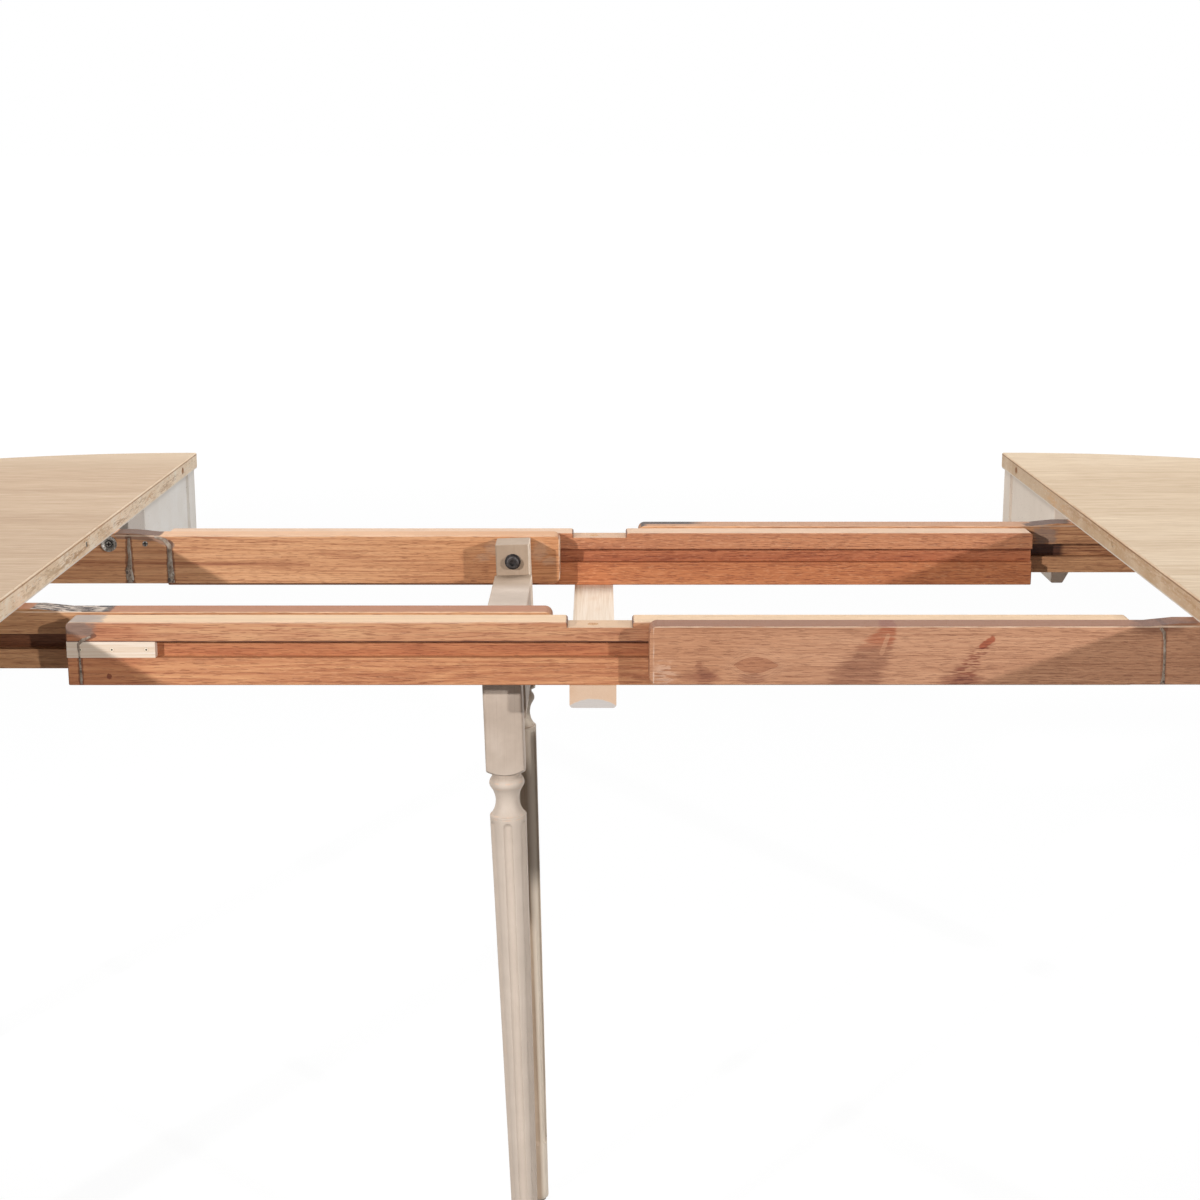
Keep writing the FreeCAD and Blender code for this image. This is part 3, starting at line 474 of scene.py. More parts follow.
def oak_top(name, seed, tones, edge_tones, patches, worn):
    """Limed oak boards above. On the seam edge, off-white paint with bare patches at (Y, Z, half lengths) in mm."""
    coat = Finish(name)
    board = coat.y / board_width
    per_board = coat.node("TexWhiteNoise", {"noise_dimensions": "1D"}, {"W": board.math("FLOOR") + seed})
    broad = coat.noise((0.5, 0.045, 0.3), seed)
    streak = coat.noise((0.12, 0.0026, 0.05), seed + 4.0, detail=4.0, rough=0.6, warp=0.15)
    fine = coat.noise((0.05, 0.0017, 0.0017), seed + 9.1, detail=4.0, rough=0.6)
    tone = broad * 0.22 + streak * 0.30 + fine * 0.52 + per_board * 0.08 - 0.06
    coat.base = coat.ramp(tone, (0.36, 0.5, 0.64), tones)
    pore = coat.grains((0.024, 0.0007, 0.0007), seed + 5.3, 0.60, 0.70, detail=1.0)
    coat.stain(pore * 0.30, (176, 144, 112))
    limed = coat.grains((0.05, 0.0022, 0.0022), seed + 7.7, 0.60, 0.74)
    coat.cover(limed * 0.30, (240, 226, 204))
    joint = abs(board.math("PINGPONG", 0.5)) * (2 * board_width)
    coat.stain(joint.rise(0.0012, 0.0004) * 0.30, (160, 128, 98))
    far_left_part = coat.y.rise_mm(400, 600) * (coat.x < 0.0)
    coat.cover(far_left_part * 0.5, (214, 192, 164))
    oak = coat.base
    rub = coat.worn_paint(seed + 3, edge_tones, bare_tan, worn, 0.05)
    scraped = coat.noise((0.004, 0.016, 0.0013), seed + 1.0, detail=5.0, rough=0.7, warp=0.3)
    dragged = coat.noise((0.004, 0.05, 0.005), seed + 2.0, detail=3.0, rough=0.6)
    deeply_scraped = (scraped + dragged).rise(0.94, 1.08)
    for *oval, tan in patches:
        bare = coat.spot(*oval, ragged=1.3, soft=0.6, across=coat.y)
        coat.cover(bare * deeply_scraped * 0.9, tan)
    coat.cover(scraped.rise(0.54, 0.62) * 0.6, (204, 166, 124))
    flaked = coat.grains((0.004, 0.007, 0.0024), seed + 5.0, 0.58, 0.66, detail=3.0)
    on_seam = abs(coat.facing_x).rise(0.90, 0.98)
    coat.cover(flaked * on_seam * (0.8 - worn * 10), (250, 241, 228))
    pin_hole = coat.spot(514, 750.7, 6, 4.4, ragged=0.6, soft=0.2, across=coat.y)
    coat.stain(pin_hole * 0.8, (190, 150, 116))
    under_veneer = coat.z.rise_mm(756.9, 757.7) * coat.z.rise_mm(759.2, 758.4)
    coat.stain(under_veneer * 0.85, (176, 142, 108))
    coat.cover(coat.z.rise_mm(743.2, 742.2) * 0.7, (236, 228, 218))
    on_edge = coat.facing_z.rise(0.85, 0.6)
    coat.base = coat.blend(on_edge, oak, coat.base)
    height = fine * 0.35 - pore * 0.3 - rub * on_edge * 0.5 - scraped * on_edge * 0.6
    return coat.surface(0.60, height, 0.0003)


def pine_wood(name, seed, tones, marks, along_y=False):
    coat = Finish(name)
    broad, growth, fine = coat.figure(seed, 0.008, 0.0012, along_y)
    tone = broad * 0.4 + growth * 0.14 + fine * 0.45 - 0.01
    coat.base = coat.ramp(tone, (0.3, 0.5, 0.7), tones)
    marks(coat)
    return coat.surface(0.6, fine, 0.0002)


def crosspiece_marks(coat):
    """A grey arc along the foot of the near end, and a few faint knots and blotches."""
    off_x = (coat.x + 6 * MM) / (21 * MM)
    waver = (coat.noise(0.006, 7.9, detail=3.0) - 0.5) * 0.002
    edge = 669.4 * MM + off_x * off_x * (-6.5 * MM) + waver
    arc = (coat.z - edge).rise(0.0006, -0.0006) * abs(coat.facing_y).rise(0.3, 0.5)
    coat.cover(arc, (198, 190, 184))
    near_end = abs(coat.facing_y).rise(0.4, 0.7) * (1 - arc)
    coat.cover(near_end * 0.85, (212, 177, 148))
    coat.stain(coat.grains((0.03, 0.05, 0.03), 7.2, 0.55, 0.75) * 0.3, (232, 206, 176))


def stop_block_marks(coat):
    """A thin brown stain round each nail."""
    for side in (-1, 1):
        for x in nail_xs:
            coat.stain(coat.spot(side * x, nail_z, 2.0, 1.6, soft=0.5) * 0.3, (200, 160, 124))


def turned_leg_paint():
    """Greige paint on the legs, worn to pinkish wood where the turning stands proud."""
    coat = Finish("greige leg paint")
    rub = coat.worn_paint(12.0, greige, rubbed_pink, -0.08, 0.05)
    broken = coat.grains((0.006, 0.006, 0.02), 12.4, 0.44, 0.60, detail=4.0, rough=0.65)
    coat.cover(coat.attribute("rub") * broken * 0.85, rubbed_pink)
    brush = coat.noise((0.0012, 0.0012, 0.05), 12.9, detail=3.0)
    coat.stain(brush.rise(0.5, 0.75) * 0.25, (204, 192, 180))
    # Painted shade: the far centre leg is darker, and painted light: its side that faces +X is paler.
    far_leg = coat.y.rise_mm(50, 90) * (abs(coat.x) < 0.2)
    coat.stain(far_leg, (222, 212, 199))
    coat.cover(far_leg * coat.facing_x.rise(0.2, 0.7) * 0.9, (244, 228, 208))
    # Painted light: below 600 mm the legs, all but the far centre leg, turn paler.
    coat.cover(coat.z.rise_mm(600, 560) * (1 - far_leg) * 0.4, (232, 217, 202))
    # Darker in the flutes and in the turned groove below the bell.
    coat.stain(coat.attribute("hollow") * 0.35, (150, 132, 116))
    return coat.surface(0.58, brush * 0.5 - rub, 0.0002)


def run_paint():
    """A dried run: a pale crown, and shoulders darkened by the way they face as painted shade."""
    coat = Finish("dried paint run")
    crown = abs(coat.facing_y).rise(0.35, 0.85)
    blot = coat.noise((0.004, 0.004, 0.006), 13.0, detail=4.0, rough=0.65)
    pale = coat.ramp(blot, (0.35, 0.5, 0.68), ((116, 96, 80), (146, 128, 112), (178, 166, 152)))
    # Painted shade: the shoulders that face sideways take the darker tone.
    coat.base = coat.blend(crown, colour(112, 86, 66), pale)
    coat.stain(coat.grains(0.0026, 13.5, 0.52, 0.62) * coat.z.rise_mm(718, 700) * 0.8, (96, 76, 62))
    return coat.surface(0.45, blot, 0.0004)


# Metal

def metal(name, light, dark, rough, metallic, grain=0.004, recesses=()):
    """Metal with grime. Recesses are the centres (x, z) of cross slots in heads that look along Y; each is painted as
    a dark cross with a dark ring round the head, as painted shade.
    """
    coat = Finish(name)
    grime = coat.noise(grain, detail=4.0)
    coat.base = coat.ramp(grime, (0.35, 0.65), (dark, light))
    for x, z in recesses:
        off_x, off_z = abs(coat.x - x * MM), abs(coat.z - z * MM)
        far = (off_x * off_x + off_z * off_z) ** 0.5
        # Painted shade: a dark cross for the slot and a dark ring round the head.
        cross = coat.least(off_x, off_z).rise_mm(0.9, 0.6) * far.rise_mm(2.6, 2.2)
        rim = far.within(2.9 * MM, 3.7 * MM, 0.0002)
        coat.stain(coat.most(cross, rim), (70, 62, 56))
    return coat.surface(grime.rise(1.2, 0.0) * 0.2 + rough, metallic=metallic)


def nail_finish():
    """A dark nail head sunk in stopping of the block's own colour."""
    coat = Finish("sunk nail")
    grain = coat.noise((0.02, 0.001, 0.001), 14.0, detail=3.0)
    stopping = coat.ramp(grain, (0.3, 0.7), ((232, 210, 184), (244, 230, 210)))
    steel = coat.ramp(grain, (0.3, 0.7), ((40, 32, 28), (96, 78, 64)))
    coat.base = coat.blend(coat.attribute("pin"), stopping, steel)
    return coat.surface(0.5)


# What each piece wears

pale_tan, warm_tan, brown_tan = (212, 182, 146), (214, 170, 122), (186, 146, 106)
left_patches = (
    (420, 750, 44, 5, brown_tan), (340, 747, 26, 6, warm_tan), (262, 751, 50, 4.5, pale_tan),
    (175, 747, 40, 5, brown_tan), (55, 755, 13, 4, warm_tan), (108, 752, 24, 4, pale_tan),
    (0, 749, 60, 5.5, brown_tan), (-100, 750, 60, 6, pale_tan),
)
right_patches = (
    (440, 747, 60, 5, pale_tan), (305, 751, 60, 9, warm_tan), (200, 755, 90, 4.5, brown_tan),
    (60, 755, 90, 4, brown_tan), (120, 748, 40, 4, pale_tan), (-90, 754, 90, 4.5, brown_tan),
    (-240, 755, 90, 4, brown_tan),
)
left_oak = ((161, 130, 97), (181, 151, 120), (199, 173, 144))
right_oak = ((180, 152, 118), (202, 177, 146), (220, 200, 172))
left_edge = ((240, 213, 180), (252, 229, 200), (255, 243, 222))
right_edge = ((196, 162, 124), (211, 181, 147), (228, 204, 173))
block_tones = ((213, 184, 153), (231, 212, 193), (241, 228, 218))
crosspiece_tones = ((210, 186, 160), (226, 208, 188), (236, 222, 206))
side_screw_recesses = ((-505, 730.4), (-468, 730.4))
leg_paint = turned_leg_paint()

# Each finish with the endings of its nodes' names. A node takes the first that fits.
wears = (
    (left_far_rail_wood(), "left_far_rail"),
    (left_near_rail_wood(), "left_near_rail"),
    (middle_far_rail_wood(), ("middle_far_rail", "splines")),
    (middle_near_rail_wood(), "middle_near_rail"),
    (right_far_rail_wood(), "right_far_rail"),
    (right_near_rail_wood(), "right_near_rail"),
    (pine_wood("pine block", 7.0, block_tones, stop_block_marks), ("stop_blocks", "corner_blocks", "glue_blocks")),
    (pine_wood("pine crosspiece", 7.5, crosspiece_tones, crosspiece_marks, True), "crosspiece"),
    (apron_paint(), ("apron", "seam_boards")),
    (leg_paint, ("leg_pegs", "leg_rail", "leg")),
    (oak_top("left limed oak", 9.0, left_oak, left_edge, left_patches, 0.02), "left_top"),
    (oak_top("right limed oak", 10.0, right_oak, right_edge, right_patches, 0.06), "right_top"),
    (metal("rusty screw", (206, 164, 122), (168, 122, 84), 0.6, 0.2, 0.002), "crosspiece_screws"),
    (metal("worn steel", (176, 170, 162), (104, 98, 92), 0.42, 0.8, 0.002, side_screw_recesses),
     ("side_screws", "seam_tongue", "cup_washers")),
    (metal("zinc plate", (215, 215, 212), (150, 150, 148), 0.3, 1.0),
     ("leg_bolts", "leg_nuts", "screws", "nails", "pivot_inserts")),
    (metal("black steel", (84, 80, 80), (40, 37, 37), 0.34, 0.7), ("pivot_bolts", "pivot_washers")),
    (metal("glide plastic", (140, 134, 124), (118, 112, 104), 0.5, 0.0), "leg_glides"),
)

for node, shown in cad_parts.items():
    shown.data.materials.clear()
    shown.data.materials.append(next(finish for finish, endings in wears if node.endswith(endings)))


# Shapes grown by geometry nodes

def put_in_scene(name, data):
    thing = bpy.data.objects.new(name, data)
    scene.collection.objects.link(thing)
    return thing


def in_metres(points):
    return [tuple(length * MM for length in point) for point in points]


def mark_points(mesh, **marks):
    """Stores numbers on a mesh, one for each of its points, under each name."""
    for name, values in marks.items():
        mesh.attributes.new(name, "FLOAT", "POINT").data.foreach_set("value", values)


class Growth(Nodes):
    """A geometry node tree with named inputs for its sizes. It is run once on a plain mesh."""

    def __init__(self, name, sizes):
        self.group = bpy.data.node_groups.new(name, "GeometryNodeTree")
        super().__init__(self.group)
        sockets = self.group.interface
        for way in ("INPUT", "OUTPUT"):
            sockets.new_socket("Geometry", in_out=way, socket_type="NodeSocketGeometry")
        self.sizes = {}
        for label, value in sizes.items():
            made = sockets.new_socket(label, in_out="INPUT", socket_type="NodeSocketFloat")
            self.sizes[made.identifier] = value
        self.given = self.node("NodeGroupInput")

    def size(self, label):
        return self.given.other(label)

    def attribute(self, name):
        return self.node("GeometryNodeInputNamedAttribute", inputs={"Name": name})

    def keep(self, geometry, name, value):
        inputs = {"Geometry": geometry, "Name": name, "Value": value}
        return self.node("GeometryNodeStoreNamedAttribute", inputs=inputs)

    def noise(self, vector, size, detail=2.0):
        scaled = self.node("VectorMath", {"operation": "SCALE"}, {0: vector, "Scale": 1 / size})
        return self.node("TexNoise", inputs={"Vector": scaled, "Scale": 1.0, "Detail": detail})

    def moved(self, geometry, *place):
        return self.node("GeometryNodeSetPosition", inputs={"Geometry": geometry, "Position": self.vector(*place)})

    def smooth(self, geometry):
        return self.node("GeometryNodeSetShadeSmooth", inputs={"Geometry": geometry})

    def grow(self, name, source, shape, material):
        """Ends the tree with shape, runs it on the source mesh and gives the plain mesh."""
        plain = self.node("GeometryNodeRealizeInstances", inputs={0: shape})
        dressed = self.node("GeometryNodeSetMaterial", inputs={"Geometry": plain, "Material": material})
        self.node("NodeGroupOutput", inputs={0: dressed})
        holder = put_in_scene(name, source)
        modifier = holder.modifiers.new("growth", "NODES")
        modifier.node_group = self.group
        for identifier, value in self.sizes.items():
            modifier[identifier] = value
        bpy.context.view_layer.update()
        mesh = bpy.data.meshes.new_from_object(holder.evaluated_get(bpy.context.evaluated_depsgraph_get()))
        bpy.data.objects.remove(holder)
        return mesh


def piece(name, mesh, body, *replaced, slot="painted_wood"):
    """Shows a mesh as a piece that rides on a body, in place of the replaced nodes."""
    shown = put_in_scene(name, mesh)
    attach(shown, body)
    if replaced:
        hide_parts(*replaced)


def gathered(name, placed):
    """One mesh of several (mesh, matrix) pairs."""
    whole = bmesh.new()
    for mesh, place in placed:
        first = len(whole.verts)
        whole.from_mesh(mesh)
        whole.verts.ensure_lookup_table()
        bmesh.ops.transform(whole, matrix=place, verts=whole.verts[first:])
    joined = bpy.data.meshes.new(name)
    whole.to_mesh(joined)
    whole.free()
    joined.materials.append(placed[0][0].materials[0])
    return joined


# Turned legs. Sizes in millimetres, with drops measured down from the end of the square block.

def steps(low, high, count):
    """Even steps after low, up to high."""
    return [low + (high - low) * step / count for step in range(1, count + 1)]


def line(start, end, count):
    """Points after start along a straight line, up to end."""
    return list(zip(*(steps(low, high, count) for low, high in zip(start, end))))


def arc(start, middle, end, count):
    """Points after start along the circle through three points, up to end."""
    (x0, y0), (x1, y1), (x2, y2) = start, middle, end
    bend = 2 * (x0 * (y1 - y2) + x1 * (y2 - y0) + x2 * (y0 - y1))
    s0, s1, s2 = (x * x + y * y for x, y in (start, middle, end))
    cx = (s0 * (y1 - y2) + s1 * (y2 - y0) + s2 * (y0 - y1)) / bend
    cy = (s0 * (x2 - x1) + s1 * (x0 - x2) + s2 * (x1 - x0)) / bend
    radius = hypot(x0 - cx, y0 - cy)
    a0, a1, a2 = (atan2(y - cy, x - cx) for x, y in (start, middle, end))
    turn = (a2 - a0) % tau
    if (a1 - a0) % tau > turn:
        turn -= tau
    angles = [a0 + turn * step / count for step in range(1, count + 1)]
    return [(cx + radius * cos(a), cy + radius * sin(a)) for a in angles]


class LegShape:
    """The rows of a leg from its top to its foot, each a height, a round radius and the share of it that is used."""

    flutes = 6
    flute_half = 4.4
    flute_depth = 2.6
    arris = 2.0
    lip_wear = 0.9
    hollow_band = 3.0

    def __init__(self, swell, stretch, half_x, half_y, top, block_end, foot):
        self.half_x, self.half_y = half_x, half_y
        reach = hypot(half_x, half_y) + self.arris
        self.cutter = swell * (self.flute_half ** 2 + self.flute_depth ** 2) / (2 * self.flute_depth)
        self.depth = self.flute_depth * swell

        def at(radius, drop):
            return radius * swell, block_end - drop * stretch

        lip, groove, vase_end = at(13.2, 5.2), at(13.2, 9.2), at(15.0, 18.4)
        flare, shoulder = at(15.3, 45.6), at(16.5, 48.2)
        toe = (10.5 * swell, foot)
        self.taper = (shoulder[0] - toe[0]) / (shoulder[1] - toe[1])
        self.shoulder = shoulder
        self.start = block_end - 56.0 * stretch
        self.end = foot + 70.0 * swell
        self.lips = [lip[1] + 0.3 * stretch, groove[1] - 3.5 * stretch, vase_end[1], flare[1] + 0.2, shoulder[1]]
        self.hollow = (lip[1] + groove[1]) / 2
        block_top = (reach, top - 0.6)
        bell_top = (reach, block_end + 5.2 * stretch)
        round_mid = (flare[0] + 0.75 * (shoulder[0] - flare[0]), flare[1] + 0.25 * (shoulder[1] - flare[1]))
        path = [block_top] + line(block_top, bell_top, 24)
        path += arc(bell_top, ((reach + half_x) / 2, block_end), lip, 30)
        path += line(lip, groove, 3)
        path += arc(groove, at(15.8, 14.0), vase_end, 14)
        path += arc(vase_end, at(10.9, 34.8), flare, 22)
        path += arc(flare, round_mid, shoulder, 6)
        near = self.cutter + 1.5
        bands = (
            (shoulder[1], self.start + near, 5),
            (self.start + near, self.start - 2, 16),
            (self.start - 2, self.end + 2, 26),
            (self.end + 2, self.end - near, 14),
            (self.end - near, foot + 1.0, 8),
        )
        for upper, lower, count in bands:
            path += line(self.on_taper(upper), self.on_taper(lower), count)
        self.rows = [(top, reach, 0.0), (top, reach, 0.968)] + [(z, radius, 1.0) for radius, z in path]
        self.rows += [(foot, toe[0], 0.94), (foot, toe[0], 0.0)]

    def on_taper(self, z):
        return self.shoulder[0] - (self.shoulder[1] - z) * self.taper, z

    def flute_edge(self, z):
        """Half the angle that a flute takes up at a height."""
        radius = self.on_taper(min(max(z, self.end), self.start))[0]
        middle = radius + self.cutter - self.depth
        cosine = (radius ** 2 + middle ** 2 - self.cutter ** 2) / (2 * radius * middle)
        return acos(min(cosine, 1.0))

    def block_angles(self):
        """Angles round the block, closer together on its rounded corners."""
        first = atan2(self.half_y - self.arris, self.half_x)
        second = atan2(self.half_y, self.half_x - self.arris)
        stops = [-first, first, second, pi - second, pi - first]
        stops += [pi + first, pi + second, tau - second, tau - first]
        angles = [stops[0]]
        for low, high, count in zip(stops, stops[1:], [36, 6] * 4):
            angles += steps(low, high, count)
        return angles

    def fluted_angles(self, z):
        """Angles round the foot, with one at each edge of each flute."""
        half = pi / self.flutes
        edge = self.flute_edge(z)
        angles = [-pi / 3]
        for turn in range(self.flutes):
            middle = angles[0] + half + 2 * half * turn
            angles += [middle - half + (half - edge) * step / 6 for step in range(1, 6)]
            angles += [middle + edge * step / 8 for step in range(-8, 9)]
            angles += [middle + edge + (half - edge) * step / 6 for step in range(1, 7)]
        return angles

    def sheet(self, name):
        """The leg unrolled: each corner is an angle, a height and a round radius, in metres."""
        block = self.block_angles()
        bell_end = self.lips[0]
        points, faces, shares, lips, lows = [], [], [], [], []
        for z, radius, share in self.rows:
            blend = min(max((bell_end - z) / (bell_end - self.start), 0.0), 1.0)
            for first, last in zip(block, self.fluted_angles(z)):
                points.append((first + (last - first) * blend, z * MM, radius * MM))
                shares.append(share)
                lips.append(max([0.0] + [1 - abs(z - lip) / self.lip_wear for lip in self.lips]))
                lows.append(max(0.0, 1 - abs(z - self.hollow) / self.hollow_band))
        across = len(block)
        for row in range(len(self.rows) - 1):
            for step in range(across - 1):
                corner = row * across + step
                faces.append((corner + across, corner + across + 1, corner + 1, corner))
        mesh = bpy.data.meshes.new(name)
        mesh.from_pydata(points, [], faces)
        mark_points(mesh, share=shares, lip=lips, low=lows)
        return mesh

    def grown(self, name):
        """Rolls the sheet up: a round turned to its profile, cut to the square block and fluted."""
        tree = Growth(name, {
            "Half width": self.half_x * MM, "Half depth": self.half_y * MM, "Arris": self.arris * MM,
            "Cutter radius": self.cutter * MM, "Flute depth": self.depth * MM, "Flute start": self.start * MM,
            "Flute end": self.end * MM, "Wear": 0.35 * MM,
        })
        angle, height, turned = tree.axes(tree.node("GeometryNodeInputPosition"))
        cosine, sine = angle.math("COSINE"), angle.math("SINE")
        wide, deep = tree.most(abs(cosine), 0.0001), tree.most(abs(sine), 0.0001)
        half_x, half_y, arris = tree.size("Half width"), tree.size("Half depth"), tree.size("Arris")
        flat = tree.least(half_x / wide, half_y / deep)
        centre_x, centre_y = half_x - arris, half_y - arris
        along = centre_x * wide + centre_y * deep
        off = centre_x * deep - centre_y * wide
        rounded = along + tree.most(arris * arris - off * off, 0.0) ** 0.5
        on_corner = (rounded * wide > centre_x) * (rounded * deep > centre_y) * (abs(off) < arris)
        block = flat + (rounded - flat) * on_corner
        radius = tree.least(turned, block)
        cutter, start, end = tree.size("Cutter radius"), tree.size("Flute start"), tree.size("Flute end")
        swing = (angle - pi / 2).math("PINGPONG", pi / self.flutes)
        beyond = tree.most(height - start, end - height, 0.0)
        middle = turned + cutter - tree.size("Flute depth")
        reach = middle * swing.math("SINE")
        inside = cutter * cutter - beyond * beyond - reach * reach
        cut = middle * swing.math("COSINE") - tree.most(inside, 0.0) ** 0.5
        fluted = tree.least(radius, cut + (inside < 0.0) * 1.0)
        upright = tree.vector(cosine * fluted, sine * fluted, height)
        blunt = tree.noise(upright, 7 * MM, 3.0)
        square = on_corner * (block < turned)
        flute_lip = abs(cut - radius).rise_mm(0.9, 0.2) * (inside > 0.0)
        rub = tree.most(square, tree.attribute("lip"), flute_lip)
        worn = fluted - rub * blunt * tree.size("Wear") - (tree.noise(upright, 30 * MM) - 0.5) * (0.3 * MM)
        final = worn * tree.attribute("share")
        hollow = tree.most(tree.attribute("low"), (radius - fluted).rise_mm(0.6, 2.4))
        rolled = tree.moved(tree.given, cosine * final, sine * final, height)
        rolled = tree.keep(tree.keep(rolled, "rub", rub), "hollow", hollow)
        closed = tree.node("GeometryNodeMergeByDistance", inputs={"Geometry": rolled, "Distance": 0.00001})
        mesh = tree.grow(name, self.sheet(name + " sheet"), tree.smooth(closed), leg_paint)
        mesh.set_sharp_from_angle(angle=radians(32))
        return mesh


def hung(y):
    """Where a centre leg hangs: leaned a little on its pivot."""
    pivot = Matrix.Translation((centre_leg_x * MM, 0, pivot_z * MM))
    lean = pivot @ Matrix.Rotation(radians(-centre_leg_lean), 4, "Y") @ pivot.inverted()
    return lean @ Matrix.Translation((centre_leg_x * MM, y * MM, 0))


def stood(side, angle):
    """Where a main leg stands, by its seam's side and its angle round the seam's middle."""
    out = Matrix.Translation((main_leg_circle * MM, 0, 0))
    turn = Matrix.Rotation(radians(angle if side > 0 else 180 - angle), 4, "Z")
    return Matrix.Translation((side * seam_x * MM, 0, 0)) @ turn @ out


centre_legs = []
for way, side, top in (("near", -1, 729.5), ("far", 1, 736.8)):
    shape = LegShape(1.0, 0.95, half_x=17.25, half_y=19.0, top=top, block_end=586.0, foot=4.0)
    centre_legs.append((shape.grown(f"{way} centre leg"), hung(side * centre_leg_y)))
piece("centre_legs", gathered("centre_legs", centre_legs), "centre_leg_frame", "centre_near_leg", "centre_far_leg")

main_leg = LegShape(1.9, 1.75, half_x=32.5, half_y=32.5, top=741.4, block_end=632.4, foot=5.0).grown("main leg")
for half, side in (("left", -1), ("right", 1)):
    legs = gathered(f"{half}_legs", [(main_leg, stood(side, angle)) for angle in (-45, 45)])
    piece(f"{half}_legs", legs, f"{half}_half", f"{half}_near_leg", f"{half}_far_leg")


# Dried runs of paint on the rails. Sizes in millimetres.

def grown_run(name, face, flatness, points, material):
    """A ragged bead along points (x, z, half width), pressed flat on a face that looks along Y."""
    source = bpy.data.meshes.new("run path")
    edges = [(i, i + 1) for i in range(len(points) - 1)]
    source.from_pydata(in_metres((x, face, z) for x, z, half in points), edges, [])
    mark_points(source, half=[half * MM for x, z, half in points])
    tree = Growth(name, {"Face": face * MM, "Flatness": flatness, "Ragged": 0.9})
    path = tree.node("GeometryNodeMeshToCurve", inputs={0: tree.given})
    path = tree.node("GeometryNodeResampleCurve", {"mode": "LENGTH"}, {"Curve": path, "Length": 0.7 * MM})
    ring = tree.node("GeometryNodeCurvePrimitiveCircle", inputs={"Resolution": 18})
    inputs = {"Curve": path, "Profile Curve": ring, "Scale": tree.attribute("half"), "Fill Caps": True}
    bead = tree.node("GeometryNodeCurveToMesh", inputs=inputs)
    place = tree.node("GeometryNodeInputPosition")
    x, y, z = tree.axes(place)
    face_y = tree.size("Face")
    sway = (tree.noise(place, 6 * MM, 3.0) - 0.5) * tree.size("Ragged") * tree.attribute("half")
    swell = (tree.noise(place, 3 * MM) - 0.5) * 0.8 + 1
    shaped = tree.moved(bead, x + sway, face_y + (y - face_y) * tree.size("Flatness") * swell, z)
    return tree.grow(name, source, tree.smooth(shaped), material)


runs = (
    ("left_half", left_rail_face, 0.28, (
        ((-484.5, 736.5, 1.2), (-485, 727, 1.9), (-484.5, 716, 1.7), (-485, 707, 2.6), (-486, 701, 3.9),
         (-485, 694, 3.6), (-485, 689.5, 2.8)),
        ((-458, 737.4, 1.2), (-448, 734.5, 2.2), (-443.5, 728.5, 2.4), (-443, 718, 2.5), (-443.5, 707, 2.7),
         (-442.5, 698, 3.3), (-442.5, 689.5, 3.4)),
    )),
    ("slide_carriage", -middle_outer_face, 0.35, (
        ((-431, 724, 0.8), (-438, 721, 1.5), (-442, 717, 1.2), (-441.5, 708, 0.7), (-441, 696, 0.9),
         (-441.2, 689, 1.2), (-441, 682.6, 0.9)),
    )),
    ("right_half", -right_rail_face, 0.30, (
        ((467, 737.5, 1.4), (470, 733, 1.3), (471, 722, 1.0), (471.4, 706, 1.1), (471.5, 694, 1.3),
         (471, 689.5, 1.9)),
    )),
)

dried_paint = run_paint()
for body, face, flatness, paths in runs:
    beads = [grown_run(f"{body} run", face, flatness, points, dried_paint) for points in paths]
    whole = gathered(f"{body} runs", [(bead, Matrix()) for bead in beads])
    piece(f"{body}_paint_runs", whole, body)


# Sunk nails

def turned_nail():
    """A nail head in its stopping, turned about +Y from its outer end inwards."""
    rings = (  # radius, depth and whether it is the pin
        (0, 3.0, 0), (1.7, 3.0, 0), (1.72, 0.02, 0), (1.2, -0.03, 0), (0.82, 0.04, 0), (0.74, 0.5, 1), (0, 0.55, 1))
    around = 20
    turns = [tau * step / around for step in range(around)]
    points = [(radius * cos(turn), -depth, radius * sin(turn)) for radius, depth, pin in rings for turn in turns]
    faces = []
    for row in range(len(rings) - 1):
        for step in range(around):
            a, b = row * around + step, row * around + (step + 1) % around
            faces.append((a, b, b + around, a + around))
    mesh = bpy.data.meshes.new("nail")
    mesh.from_pydata(in_metres(points), [], faces)
    mark_points(mesh, pin=[pin for radius, depth, pin in rings for turn in turns])
    mended = bmesh.new()
    mended.from_mesh(mesh)
    bmesh.ops.remove_doubles(mended, verts=mended.verts, dist=0.000001)
    bmesh.ops.recalc_face_normals(mended, faces=mended.faces)
    mended.to_mesh(mesh)
    mended.free()
    return mesh


def set_out(name, shape, places, material):
    """Geometry nodes put a copy of a small shape at each (x, y, z) in millimetres, looking along -Y or +Y."""
    source = bpy.data.meshes.new(name + " places")
    source.from_pydata(in_metres(place[:3] for place in places), [], [])
    mark_points(source, way=[way for x, y, z, way in places])
    pattern = put_in_scene(name + " pattern", shape)
    tree = Growth(name, {"Turn": tau})
    given = tree.node("GeometryNodeObjectInfo", inputs={"Object": pattern}, output="Geometry")
    chance = tree.node("FunctionNodeRandomValue", inputs={"Seed": 3}, output=1)
    spin = tree.vector(0.0, chance * tree.size("Turn"), (tree.attribute("way") < 0.0) * pi)
    inputs = {"Points": tree.given, "Instance": given, "Rotation": spin}
    copies = tree.node("GeometryNodeInstanceOnPoints", inputs=inputs)
    mesh = tree.grow(name, source, copies, material)
    bpy.data.objects.remove(pattern)
    mesh.set_sharp_from_angle(angle=radians(35))
    return mesh


inner = [(-x, side * middle_inner_face, nail_z, -side) for side in (-1, 1) for x in nail_xs]
outer = [(end * x, side * middle_outer_face, nail_z, side) for side in (-1, 1) for end in (-1, 1) for x in nail_xs]
nails = set_out("sunk nails", turned_nail(), inner + outer, nail_finish())
piece("sunk_nails", nails, "slide_carriage", "stop_nails", slot="plated_steel")


# Floor, lights and camera

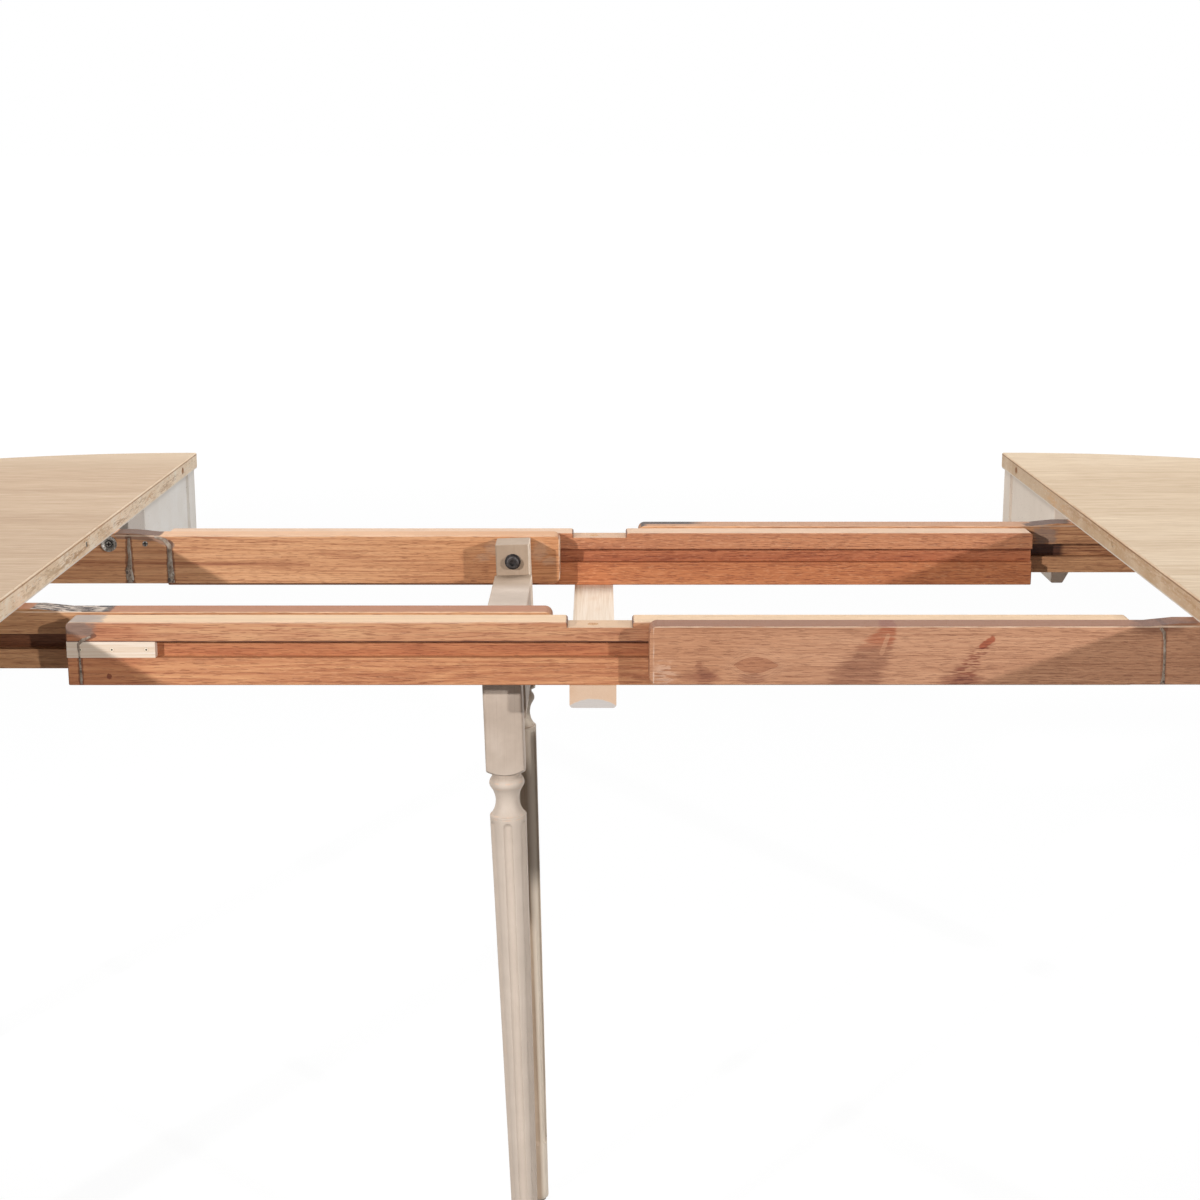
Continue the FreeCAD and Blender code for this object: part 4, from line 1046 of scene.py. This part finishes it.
def backdrop_floor():
    mesh = bpy.data.meshes.new("floor")
    far = 400.0
    mesh.from_pydata([(-far, -far, 0), (far, -far, 0), (far, far, 0), (-far, far, 0)], [], [(0, 1, 2, 3)])
    finish = Finish("pale floor")
    seen = finish.seen()
    near = finish.ramp(finish.noise(0.4, detail=3.0), (0.3, 0.7), ((0.89,), (0.90,)), grey)
    matt = finish.node("BsdfDiffuse", inputs={"Color": finish.blend(seen, grey(0.22), near)})
    glow = finish.node("Emission", inputs={"Color": grey(1), "Strength": 1.03})
    away = (finish.x ** 2.0 + finish.y ** 2.0) ** 0.5
    white = away.rise(2.0, 7.0) * 0.11 + 0.89
    mesh.materials.append(finish.ended(finish.node("MixShader", inputs={0: seen * white, 1: matt, 2: glow})))
    put_in_scene("floor", mesh)


def pale_room():
    world = bpy.data.worlds.new("pale room")
    scene.world = world
    world.use_nodes = True
    sky = Nodes(world.node_tree)
    soft = sky.node("Background", inputs={"Color": (0.95, 0.97, 1.0, 1), "Strength": 0.12})
    white = sky.node("Background", inputs={"Color": grey(1)})
    mixed = sky.node("MixShader", inputs={0: sky.seen(), 1: soft, 2: white})
    sky.node("OutputWorld", inputs={"Surface": mixed})


def lamp(name, place, aim, power, size):
    light = bpy.data.lights.new(name, "AREA")
    light.shape = "RECTANGLE"
    light.size, light.size_y = size
    light.energy = power
    thing = put_in_scene(name, light)
    thing.location = place
    thing.rotation_euler = (Vector(aim) - Vector(place)).to_track_quat("-Z", "Y").to_euler()


backdrop_floor()
pale_room()
for way, place, power in (("left", (-3.4, -4.5, 2.5), 240), ("right", (4.12, -4.3, 2.15), 185)):
    lamp(f"{way} lamp", place, (0.0, 0.0, 0.72), power, (0.14, 0.14))
lamp("overhead softbox", (0.0, 1.7, 3.6), (0.0, 0.2, 0.76), 110, (4.2, 2.0))

camera = bpy.data.cameras.new("camera")
camera.lens = 59.87
camera.sensor_width = 36
view = put_in_scene("camera", camera)
view.location = (-0.0014, -1.8565, 1.1242)
view.rotation_euler = (radians(90 - 12.659), 0, radians(-0.049))
scene.camera = view
scene.view_settings.view_transform = "Standard"
